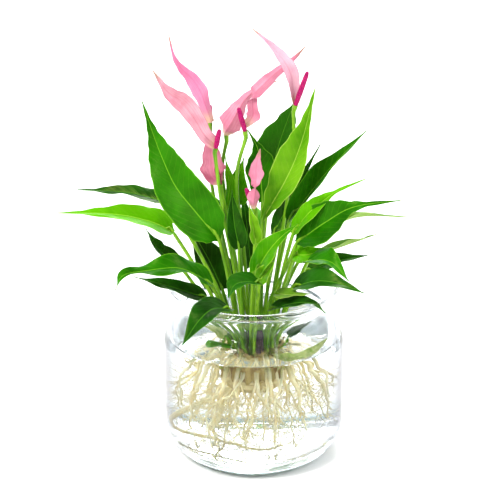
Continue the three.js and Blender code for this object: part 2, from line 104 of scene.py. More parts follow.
def band(tree, value, low, high, start=0.0, end=1.0, shape="SMOOTHSTEP"):
    # goes from start to end while the value goes from low to high
    return put(tree, "ShaderNodeMapRange", {
        "Value": value, "From Min": low, "From Max": high, "To Min": start, "To Max": end},
        interpolation_type=shape).outputs["Result"]


def blended(tree, share, first, second):
    return put(tree, "ShaderNodeMix", {0: share, 6: first, 7: second}, data_type="RGBA").outputs[2]


def grain(tree, scale, detail=2.0, stretch=None):
    place = put(tree, "ShaderNodeTexCoord").outputs["Object"]
    if stretch:
        place = put(tree, "ShaderNodeMapping", {"Vector": place, "Scale": stretch}).outputs["Vector"]
    cloud = put(tree, "ShaderNodeTexNoise", {"Vector": place, "Scale": scale, "Detail": detail})
    return cloud.outputs["Fac"]


def colour(red, green, blue):
    # screen values from 0 to 255, made linear
    parts = [value / 255 for value in (red, green, blue)]
    return tuple(p / 12.92 if p <= 0.04045 else ((p + 0.055) / 1.055) ** 2.4 for p in parts) + (1.0,)


studio = {
    # what is all round: behind and level with the horizon, above, at the sides and in front
    "behind": colour(255, 255, 255), "level": colour(212, 210, 220),
    "above": colour(222, 223, 225), "sides": colour(190, 188, 194),
    "front": colour(176, 178, 178), "frontLow": colour(255, 255, 255), "backGlow": 1.3,
    "floor": colour(246, 246, 247), "floorLight": colour(250, 250, 250), "floorSize": 8.0,
    "aim": (0, 0, 0.18), "bounces": 64,
    "lamps": [
        # name, place in metres, size in metres, watts, colour
        ("key", (-1.3, -1.3, 2.2), 1.0, 80, colour(255, 253, 250)),
        ("side", (1.9, -0.7, 1.5), 1.0, 30, colour(250, 252, 255)),
        ("back", (0.3, 1.8, 1.9), 1.4, 50, colour(255, 255, 255)),
    ],
}


def setWorld():
    world = bpy.data.worlds.new("studio")
    scene.world = world
    world.use_nodes = True
    tree = world.node_tree
    background = tree.nodes["Background"].inputs
    direction = put(tree, "ShaderNodeTexCoord").outputs["Generated"]
    parts = put(tree, "ShaderNodeSeparateXYZ", {"Vector": direction}).outputs
    height, depth = parts["Z"], parts["Y"]
    aside = reckon(tree, "ABSOLUTE", parts["X"])
    shade = blended(tree, band(tree, height, 0.0, 0.3), studio["level"], studio["behind"])
    shade = blended(tree, band(tree, aside, 0.6, 0.95), shade, studio["sides"])
    shade = blended(tree, band(tree, height, 0.5, 0.9), shade, studio["above"])
    front = blended(tree, band(tree, height, 0.12, 0.5), studio["frontLow"], studio["front"])
    shade = blended(tree, band(tree, depth, -0.6, 0.2), front, shade)
    tree.links.new(shade, background["Color"])
    # brighter low behind the vase, where one looks through its glass
    low = band(tree, height, 0.45, 0.75, 1.0, 0.0, "LINEAR")
    back = band(tree, depth, 0.2, 0.6, 0.0, studio["backGlow"], "LINEAR")
    strength = reckon(tree, "ADD", reckon(tree, "MULTIPLY", low, back), 1.0)
    tree.links.new(strength, background["Strength"])


def addLamp(name, place, size, watts, tint):
    lamp = bpy.data.lights.new(name, "AREA")
    lamp.shape = "DISK"
    lamp.size = size
    lamp.energy = watts
    lamp.color = tint[:3]
    holder = bpy.data.objects.new(name, lamp)
    holder.location = place
    aim = Vector(studio["aim"]) - Vector(place)
    holder.rotation_euler = aim.to_track_quat("-Z", "Y").to_euler()
    scene.collection.objects.link(holder)


def newMaterial(name, **values):
    # a value's underscores stand for the spaces in its socket's name
    material = bpy.data.materials.new(name)
    material.use_nodes = True
    shader = material.node_tree.nodes["Principled BSDF"]
    for key, value in values.items():
        shader.inputs[key.replace("_", " ")].default_value = value
    return material, material.node_tree, shader


def addFloor():
    half = studio["floorSize"] / 2
    corners = [(-half, -half, 0), (half, -half, 0), (half, half, 0), (-half, half, 0)]
    mesh = bpy.data.meshes.new("floor")
    mesh.from_pydata(corners, [], [(0, 1, 2, 3)])
    floor = bpy.data.objects.new("floor", mesh)
    material, tree, shader = newMaterial("floorPaint", Roughness=0.7)
    tone = blended(tree, grain(tree, 3.0), studio["floor"], studio["floorLight"])
    tree.links.new(tone, shader.inputs["Base Color"])
    mesh.materials.append(material)
    scene.collection.objects.link(floor)


setWorld()
for lampRow in studio["lamps"]:
    addLamp(*lampRow)
addFloor()
scene.view_settings.view_transform = "Standard"
scene.cycles.max_bounces = studio["bounces"]  # glass behind glass needs many
scene.cycles.transmission_bounces = studio["bounces"]
scene.cycles.glossy_bounces = studio["bounces"]
print("camera, light and floor are in place")


# ---- curves and meshes ----
def smooth(value, low, high):
    place = min(max((value - low) / (high - low), 0.0), 1.0)
    return place * place * (3 - 2 * place)


def splineAt(points, t):
    # a uniform Catmull-Rom curve through all the points
    last = len(points) - 1
    place = min(max(t, 0.0), 1.0) * last
    i = min(int(place), last - 1)
    w = place - i
    b, c = points[i], points[i + 1]
    a = points[i - 1] if i > 0 else b * 2 - c
    d = points[i + 2] if i + 2 <= last else c * 2 - b
    return (b * 2 + (c - a) * w + (a * 2 - b * 5 + c * 4 - d) * w ** 2
            + (b * 3 - a - c * 3 + d) * w ** 3) * 0.5


def splineWay(points, t):
    step = 1e-4
    return (splineAt(points, min(t + step, 1)) - splineAt(points, max(t - step, 0))).normalized()


def evenPoints(points, count):
    # count + 1 points at even steps along the curve, and its length
    parts = 200
    fine = [splineAt(points, i / parts) for i in range(parts + 1)]
    run = [0.0]
    for here, there in zip(fine, fine[1:]):
        run.append(run[-1] + (there - here).length)
    spots = []
    at = 0
    for i in range(count + 1):
        goal = run[-1] * i / count
        while at < parts - 1 and run[at + 1] < goal:
            at += 1
        share = (goal - run[at]) / max(run[at + 1] - run[at], 1e-9)
        spots.append(fine[at].lerp(fine[at + 1], min(share, 1.0)))
    return spots, run[-1]


def meshPiece(name, mesh):
    # an object of a finished mesh, at the origin
    mesh.name = name
    mesh.shade_smooth()
    piece = bpy.data.objects.new(name, mesh)
    scene.collection.objects.link(piece)
    return piece


def partsPiece(name, parts, materials):
    # each part has points, faces, one material number or one for each face, and maybe values for its points
    keys = sorted({key for part in parts for key in part.get("values", {})})
    points, faces, numbers, values = [], [], [], {key: [] for key in keys}
    for part in parts:
        start = len(points)
        points += part["points"]
        faces += [tuple(start + corner for corner in face) for face in part["faces"]]
        slots = part["material"]
        numbers += slots if isinstance(slots, list) else [slots] * len(part["faces"])
        for key in keys:
            values[key] += part.get("values", {}).get(key, [0.0] * len(part["points"]))
    mesh = bpy.data.meshes.new(name)
    mesh.from_pydata(points, [], faces)
    mesh.polygons.foreach_set("material_index", numbers)
    for key, row in values.items():
        mesh.attributes.new(key, "FLOAT", "POINT").data.foreach_set("value", row)
    for material in materials:
        mesh.materials.append(material)
    piece = meshPiece(name, mesh)
    mesh.set_sharp_from_angle(angle=math.radians(60))
    return piece


def plainMesh(holder):
    # what the object's modifiers make, as a mesh of its own; the holder goes
    graph = bpy.context.evaluated_depsgraph_get()
    mesh = bpy.data.meshes.new_from_object(holder.evaluated_get(graph))
    holder.modifiers.clear()
    data = holder.data
    bpy.data.objects.remove(holder)
    if isinstance(data, bpy.types.Curve):
        bpy.data.curves.remove(data)
    return mesh


def nodeTree(name, sockets):
    # a Geometry Nodes tree with a geometry input and output and the named inputs
    tree = bpy.data.node_groups.new(name, "GeometryNodeTree")
    tree.interface.new_socket("Geometry", in_out="INPUT", socket_type="NodeSocketGeometry")
    for label, kind in sockets:
        tree.interface.new_socket(label, in_out="INPUT", socket_type="NodeSocket" + kind)
    tree.interface.new_socket("Geometry", in_out="OUTPUT", socket_type="NodeSocketGeometry")
    return tree, put(tree, "NodeGroupInput").outputs, put(tree, "NodeGroupOutput").inputs


def finishTree(tree, geometry, given, out):
    # real geometry with the given material goes to the output
    real = put(tree, "GeometryNodeRealizeInstances", {"Geometry": geometry})
    painted = put(tree, "GeometryNodeSetMaterial", {
        "Geometry": real.outputs["Geometry"], "Material": given["Material"]})
    tree.links.new(painted.outputs["Geometry"], out["Geometry"])


def tubeAlong(tree, curve, sides, radius):
    ring = put(tree, "GeometryNodeCurvePrimitiveCircle", {"Resolution": sides, "Radius": 1.0})
    return put(tree, "GeometryNodeCurveToMesh", {
        "Curve": curve, "Profile Curve": ring.outputs["Curve"], "Scale": radius,
        "Fill Caps": True}).outputs["Mesh"]


def randomNumber(tree, least, most, seed):
    inputs = {2: least, 3: most, "Seed": seed}
    return put(tree, "FunctionNodeRandomValue", inputs, data_type="FLOAT").outputs[1]


def joined(tree, *meshes):
    both = put(tree, "GeometryNodeJoinGeometry")
    for mesh in meshes:
        tree.links.new(mesh, both.inputs[0])
    return both.outputs[0]


def addNodes(holder, tree, settings):
    modifier = holder.modifiers.new(tree.name, "NODES")
    modifier.node_group = tree
    for item in tree.interface.items_tree:
        if item.in_out == "INPUT" and item.name in settings:
            modifier[item.identifier] = settings[item.name]


def pathObject(name, paths):
    # a curve object of straight-stepped splines; each path is a list of (point, radius)
    curve = bpy.data.curves.new(name, "CURVE")
    curve.dimensions = "3D"
    for path in paths:
        spline = curve.splines.new("POLY")
        spline.points.add(len(path) - 1)
        for spot, (point, radius) in zip(spline.points, path):
            spot.co = (*point, 1)
            spot.radius = radius
    holder = bpy.data.objects.new(name, curve)
    scene.collection.objects.link(holder)
    return holder


def sweepTree():
    # a tube along each spline, as thick as the spline's own radius; the way along it is kept as "along"
    tree, given, out = nodeTree("stalkSweep", [("Sides", "Int"), ("Material", "Material")])
    factor = put(tree, "GeometryNodeSplineParameter").outputs["Factor"]
    marked = put(tree, "GeometryNodeStoreNamedAttribute", {
        "Geometry": given["Geometry"], "Name": "along", "Value": factor})
    radius = put(tree, "GeometryNodeInputRadius").outputs["Radius"]
    finishTree(tree, tubeAlong(tree, marked.outputs["Geometry"], given["Sides"], radius), given, out)
    return tree


stalkSweep = sweepTree()


def sweptPart(path, sides, number, material):
    holder = pathObject("sweep", [path])
    addNodes(holder, stalkSweep, {"Sides": sides, "Material": material})
    mesh = plainMesh(holder)
    row = [0.0] * len(mesh.vertices)
    mesh.attributes["along"].data.foreach_get("value", row)
    part = {
        "points": [tuple(v.co) for v in mesh.vertices],
        "faces": [tuple(face.vertices) for face in mesh.polygons],
        "material": number, "values": {"along": row},
    }
    bpy.data.meshes.remove(mesh)
    return part


# ---- plant materials ----
def attribute(tree, name):
    return put(tree, "ShaderNodeAttribute", attribute_name=name).outputs["Fac"]


def heightBand(tree, low, high, start=0.0, end=1.0):
    # low and high are heights in metres
    place = put(tree, "ShaderNodeTexCoord").outputs["Object"]
    height = put(tree, "ShaderNodeSeparateXYZ", {"Vector": place}).outputs["Z"]
    return band(tree, height, low, high, start, end)


def veinLines(tree, sharp):
    # thin lines where the blade's vein count passes a whole number
    part = reckon(tree, "FRACT", attribute(tree, "vein"))
    off = reckon(tree, "ABSOLUTE", reckon(tree, "SUBTRACT", part, 0.5))
    return band(tree, off, 0.5 - sharp, 0.5)


def paint(tree, shader, skin, relief, strength, depth):
    # gives the shader its colour and its fine relief; depth is in metres
    bump = put(tree, "ShaderNodeBump", {"Height": relief, "Strength": strength, "Distance": depth})
    tree.links.new(skin, shader.inputs["Base Color"])
    tree.links.new(bump.outputs["Normal"], shader.inputs["Normal"])


leafColours = {
    # deep, light, veins and midrib, underside
    "dark": (colour(6, 48, 4), colour(32, 94, 12), colour(80, 144, 34), colour(68, 114, 42)),
    "mid": (colour(10, 74, 0), colour(40, 118, 4), colour(114, 178, 38), colour(84, 134, 42)),
    "bright": (colour(44, 120, 0), colour(84, 160, 4), colour(150, 204, 54), colour(120, 172, 60)),
    "lime": (colour(68, 132, 10), colour(112, 168, 24), colour(172, 208, 84), colour(140, 178, 76)),
    "olive": (colour(62, 110, 16), colour(112, 152, 44), colour(160, 190, 86), colour(134, 166, 80)),
}
leafSides = {
    "Top": {"roughness": 0.32, "gloss": 0.16, "veins": 0.07},
    "Under": {"roughness": 0.55, "gloss": 0.1, "veins": 0.12},
}


def leafMaterial(tone, side):
    deep, light, pale, below = leafColours[tone]
    finish = leafSides[side]
    if side == "Under":
        deep, light = below, tuple(min(1.0, part * 1.25) for part in below)
    material, tree, shader = newMaterial(
        "leaf" + tone.capitalize() + side, Roughness=finish["roughness"],
        Specular_IOR_Level=finish["gloss"], Specular_Tint=colour(225, 255, 120))
    mottle = band(tree, grain(tree, 45, 3.0), 0.3, 0.7, 0.15, 0.85)
    skin = blended(tree, reckon(tree, "ADD", mottle, attribute(tree, "shade")), deep, light)
    veins = veinLines(tree, 0.13)
    skin = blended(tree, reckon(tree, "MULTIPLY", veins, finish["veins"]), skin, pale)
    edge = band(tree, attribute(tree, "across"), 0.93, 0.99, 0.0, 0.55)
    skin = blended(tree, edge, skin, pale)
    rib = band(tree, attribute(tree, "ribWay"), 0.25, 0.75, 0.85, 0.0)
    skin = blended(tree, rib, skin, pale)
    relief = reckon(tree, "SUBTRACT", grain(tree, 900, 2.0), reckon(tree, "MULTIPLY", veins, 1.4))
    paint(tree, shader, skin, relief, 0.3, 0.0003)
    return material


def stalkMaterial():
    material, tree, shader = newMaterial("stalkSkin", Roughness=0.4, Specular_IOR_Level=0.25)
    streak = band(tree, grain(tree, 300, 3.0, (1.0, 1.0, 0.06)), 0.3, 0.7)
    streak = reckon(tree, "ADD", streak, attribute(tree, "shade"))
    skin = blended(tree, streak, colour(76, 130, 8), colour(128, 178, 34))
    skin = blended(tree, heightBand(tree, 0.08, 0.1, 1.0, 0.0), skin, colour(186, 196, 104))
    paint(tree, shader, skin, streak, 0.25, 0.0003)
    return material


spatheColours = {
    # light, deep
    "deep": (colour(216, 130, 164), colour(188, 80, 124)),
    "mid": (colour(208, 130, 152), colour(178, 78, 108)),
    "blush": (colour(220, 162, 174), colour(176, 84, 108)),
    "pale": (colour(226, 178, 192), colour(202, 126, 150)),
}


def spatheMaterial(tone):
    light, deep = spatheColours[tone]
    name = "spathe" + tone.capitalize()
    material, tree, shader = newMaterial(name, Roughness=0.4, Specular_IOR_Level=0.35)
    along = attribute(tree, "along")
    flush = band(tree, grain(tree, 60, 3.0), 0.35, 0.75, 0.0, 0.7)
    skin = blended(tree, flush, light, deep)
    veins = veinLines(tree, 0.2)
    skin = blended(tree, reckon(tree, "MULTIPLY", veins, 0.32), skin, deep)
    rib = band(tree, attribute(tree, "ribWay"), 0.15, 0.6, 0.5, 0.0)
    skin = blended(tree, rib, skin, deep)
    margin = band(tree, attribute(tree, "across"), 0.9, 0.99, 0.0, 0.6)
    skin = blended(tree, margin, skin, colour(176, 96, 120))
    foot = band(tree, along, 0.0, 0.14, 0.55, 0.0)
    skin = blended(tree, foot, skin, colour(226, 214, 150))
    tip = band(tree, along, 0.88, 0.98, 0.0, 0.8)
    skin = blended(tree, tip, skin, colour(150, 120, 84))
    relief = reckon(tree, "SUBTRACT", grain(tree, 700, 2.0), veins)
    paint(tree, shader, skin, relief, 0.25, 0.0003)
    return material


leafTops = {tone: leafMaterial(tone, "Top") for tone in leafColours}
leafUnders = {tone: leafMaterial(tone, "Under") for tone in leafColours}
stalkSkin = stalkMaterial()
spatheSkins = {tone: spatheMaterial(tone) for tone in spatheColours}
print("plant materials are mixed")


# ---- leaves ----
bladeForm = {
    # half its width, what shapes its outline, the lobes at its foot, and how it folds, cups, waves and turns
    "half": 10, "peak": 0.55, "taper": 1.4, "blunt": 0.015, "tipHalf": 0.45, "lobe": 0.12,
    "fold": 13, "cup": 24, "wave": 1.1, "waves": 2, "twist": (0, 0, 1),
}
bladeSkin = {
    "thickness": 0.62, "edge": 0.24, "columns": 9, "rowStep": 1.8, "rows": (14, 72),
    "veinStep": 8.5, "veinLean": 1.25, "veinBend": 0.7, "veinsAlong": 4.5,
    "quilt": 0.3, "groove": 0.3, "grooveWidth": 0.8, "ridge": 0.7, "ridgeWidth": 0.9,
    "ripple": 0.5, "ripples": 3.5, "puff": 0.06, "swell": 1.0, "swellSize": 19,
}
crown = {
    "y": -8, "top": 78, "gap": 0.3,
    # where the stalks stand on it: the radius of each ring and how many spots it has
    "rings": {"inner": (8, 8), "middle": (13, 14), "outer": (18.3, 20)},
}
stalk = {
    "foot": 2.15, "radius": 1.5, "neck": 0.75, "swollen": 0.22, "neckStart": 0.9,
    "leg": 6, "bendOut": 0.32, "bendUp": 0.5, "sides": 10, "rows": 30,
}


def fromTable(rows, t):
    # a soft curve through rows of (place, value)
    for (t0, v0), (t1, v1) in zip(rows, rows[1:]):
        if t <= t1:
            return v0 + (v1 - v0) * smooth(t, t0, t1)
    return rows[-1][1]


def halfWidth(form, t):
    if "widths" in form:
        return fromTable(form["widths"], t)
    top = form["peak"] / (form["peak"] + form["taper"])
    most = (top + form["blunt"]) ** form["peak"] * (1 - top) ** form["taper"]
    width = (t + form["blunt"]) ** form["peak"] * max(1 - t, 0) ** form["taper"]
    return max(form["tipHalf"], form["half"] * width / most)


def bladeFrame(form, curve, t):
    # the midrib's place, and the ways along it, sideways and up, with any twist
    along = splineWay(curve, t)
    side = (curve[-1] - curve[0]).cross(Vector(form["face"])).normalized()
    side = (side - along * side.dot(along)).normalized()
    turn, start, end = form["twist"]
    side = Matrix.Rotation(math.radians(turn) * smooth(t, start, end), 3, along) @ side
    return splineAt(curve, t), along, side, side.cross(along)


def bladePoint(form, frameHere, t, across, offset):
    # across goes from -1 to 1 between the blade's edges, and offset is along the surface's upward way
    middle, along, side, up = frameHere
    skin = bladeSkin
    half = halfWidth(form, t)
    cup, fold = math.radians(form["cup"]), math.radians(form["fold"])
    out = half * math.sin(across * cup) / cup
    lift = half * (1 - math.cos(across * cup)) / cup + abs(out) * math.sin(fold)
    turn = 2.0 if across < 0 else 0.0
    share = across * across * 4 * t * (1 - t)
    ripple = form["wave"] * share * math.sin(math.tau * form["waves"] * t + turn)
    ripple += skin["ripple"] * share * math.sin(math.tau * skin["ripples"] * t + form["start"] + 2 * turn)
    ripple += skin["puff"] * half * math.sin(math.pi * abs(across))
    size = skin["swellSize"]
    place = Vector((t * (form["reach"] / size), across * half / size, form["start"]))
    ripple += skin["swell"] * min(1, half / 10) * (0.25 + 0.75 * abs(across)) * noise.noise(place)
    back = form["lobe"] * form["half"] * across * across * (1 - t) ** 5
    slope = across * cup + math.copysign(fold, across) * min(1, abs(across) * 8)
    return (middle + side * (out * math.cos(fold) - offset * math.sin(slope))
            + up * (lift + ripple + offset * math.cos(slope)) - along * back)


def veinCount(form, t, across, far, lengthwise):
    # a vein runs wherever this is a whole number; far is the way out from the midrib
    skin = bladeSkin
    if lengthwise:
        return across * skin["veinsAlong"] + 0.5
    run = t * form["reach"] - skin["veinLean"] * far - skin["veinBend"] * far * far / form["half"]
    return run / skin["veinStep"] + (0.5 if across < 0 else 0.0)


def faceOffset(t, across, half, vein, upper):
    # how far a face stands off the blade's middle, with soft waves from vein to vein,
    # a groove over the midrib and a ridge under it
    skin = bladeSkin
    far = abs(across) * half
    soft = math.cos(math.tau * vein) * 4 * abs(across) * (1 - abs(across)) * (1 - t) ** 0.5
    thick = skin["thickness"] + (skin["edge"] - skin["thickness"]) * abs(across) ** 3
    offset = skin["quilt"] * soft * min(1, half / 8)
    if upper:
        return offset + thick / 2 - skin["groove"] * math.exp(-(far / skin["grooveWidth"]) ** 2) * (1 - t)
    return offset - thick / 2 - skin["ridge"] * math.exp(-(far / skin["ridgeWidth"]) ** 2) * (1 - t)


def bladeFaces(rows, count):
    # squares of the upper face and of the lower one, and a strip round the edge
    layer = (rows + 1) * count
    faces, slots = [], []
    for row in range(rows):
        for column in range(count - 1):
            a = row * count + column
            corners = (a, a + 1, a + 1 + count, a + count)
            faces.append(corners)
            faces.append(tuple(corner + layer for corner in reversed(corners)))
            slots += [0, 1]
    rim = list(range(count - 1)) + [row * count + count - 1 for row in range(rows)]
    rim += [rows * count + column for column in range(count - 1, 0, -1)]
    rim += [row * count for row in range(rows, 0, -1)]
    for here, there in zip(rim, rim[1:] + rim[:1]):
        faces.append((here, here + layer, there + layer, there))
        slots.append(1)
    return faces, slots


def bladePart(form, curve, lengthwise=False, shade=0.0):
    # a thin blade whose lower face and edge have the second material
    skin = bladeSkin
    form["reach"] = evenPoints(curve, 1)[1]
    fewest, most = skin["rows"]
    rows = max(fewest, min(most, round(form["reach"] / skin["rowStep"])))
    steps = [i / skin["columns"] for i in range(-skin["columns"], skin["columns"] + 1)]
    columns = [math.copysign(abs(step) ** 1.5, step) for step in steps]
    frames = [bladeFrame(form, curve, row / rows) for row in range(rows + 1)]
    points = []
    values = {"vein": [], "ribWay": [], "across": [], "along": []}
    for upper in (True, False):
        for row in range(rows + 1):
            t = row / rows
            half = halfWidth(form, t)
            ribWidth = 0.25 + 0.65 * (1 - t) * min(1.3, form["half"] / 10)
            for across in columns:
                far = abs(across) * half
                vein = veinCount(form, t, across, far, lengthwise)
                offset = faceOffset(t, across, half, vein, upper)
                points.append(tuple(bladePoint(form, frames[row], t, across, offset) * mm))
                values["vein"].append(vein + 8)
                values["ribWay"].append(far / ribWidth)
                values["across"].append(abs(across))
                values["along"].append(t)
    values["shade"] = [shade] * len(points)
    faces, slots = bladeFaces(rows, len(columns))
    return {"points": points, "faces": faces, "material": slots, "values": values}


def aroundCrown(radius, angle, height):
    return Vector((radius * math.cos(angle), crown["y"] + radius * math.sin(angle), height))


def stalkPath(form, end):
    # steeply up from its spot on the crown first, leaning out later, unless there are points to pass
    ring, number = form["spot"]
    radius, spots = crown["rings"][ring]
    foot = aroundCrown(radius, number / spots * math.tau, crown["top"] + crown["gap"])
    leg = foot + Vector((0, 0, stalk["leg"]))
    if "via" in form:
        return [foot, leg] + [Vector(point) for point in form["via"]] + [end]
    bend = foot.lerp(end, stalk["bendOut"])
    bend.z = foot.z + (end.z - foot.z) * stalk["bendUp"]
    return [foot, leg, bend, end]


def stalkPart(path, radiusAt, number, shade=0.0):
    spots = evenPoints(path, stalk["rows"])[0]
    way = [(spot * mm, radiusAt(i / stalk["rows"]) * mm) for i, spot in enumerate(spots)]
    part = sweptPart(way, stalk["sides"], number, stalkSkin)
    part["values"]["shade"] = [shade] * len(part["points"])
    return part


def leafStalkRadius(t):
    # swollen at its foot and thinner just under the blade
    radius, start = stalk["radius"], stalk["neckStart"]
    more = (stalk["foot"] - radius) * (1 - smooth(t, 0, stalk["swollen"]))
    less = (radius - stalk["neck"]) * max(0, t - start) / (1 - start)
    return radius + more - less


def pieceName(node):
    first, *rest = node.split("_")
    return first + "".join(word.capitalize() for word in rest)


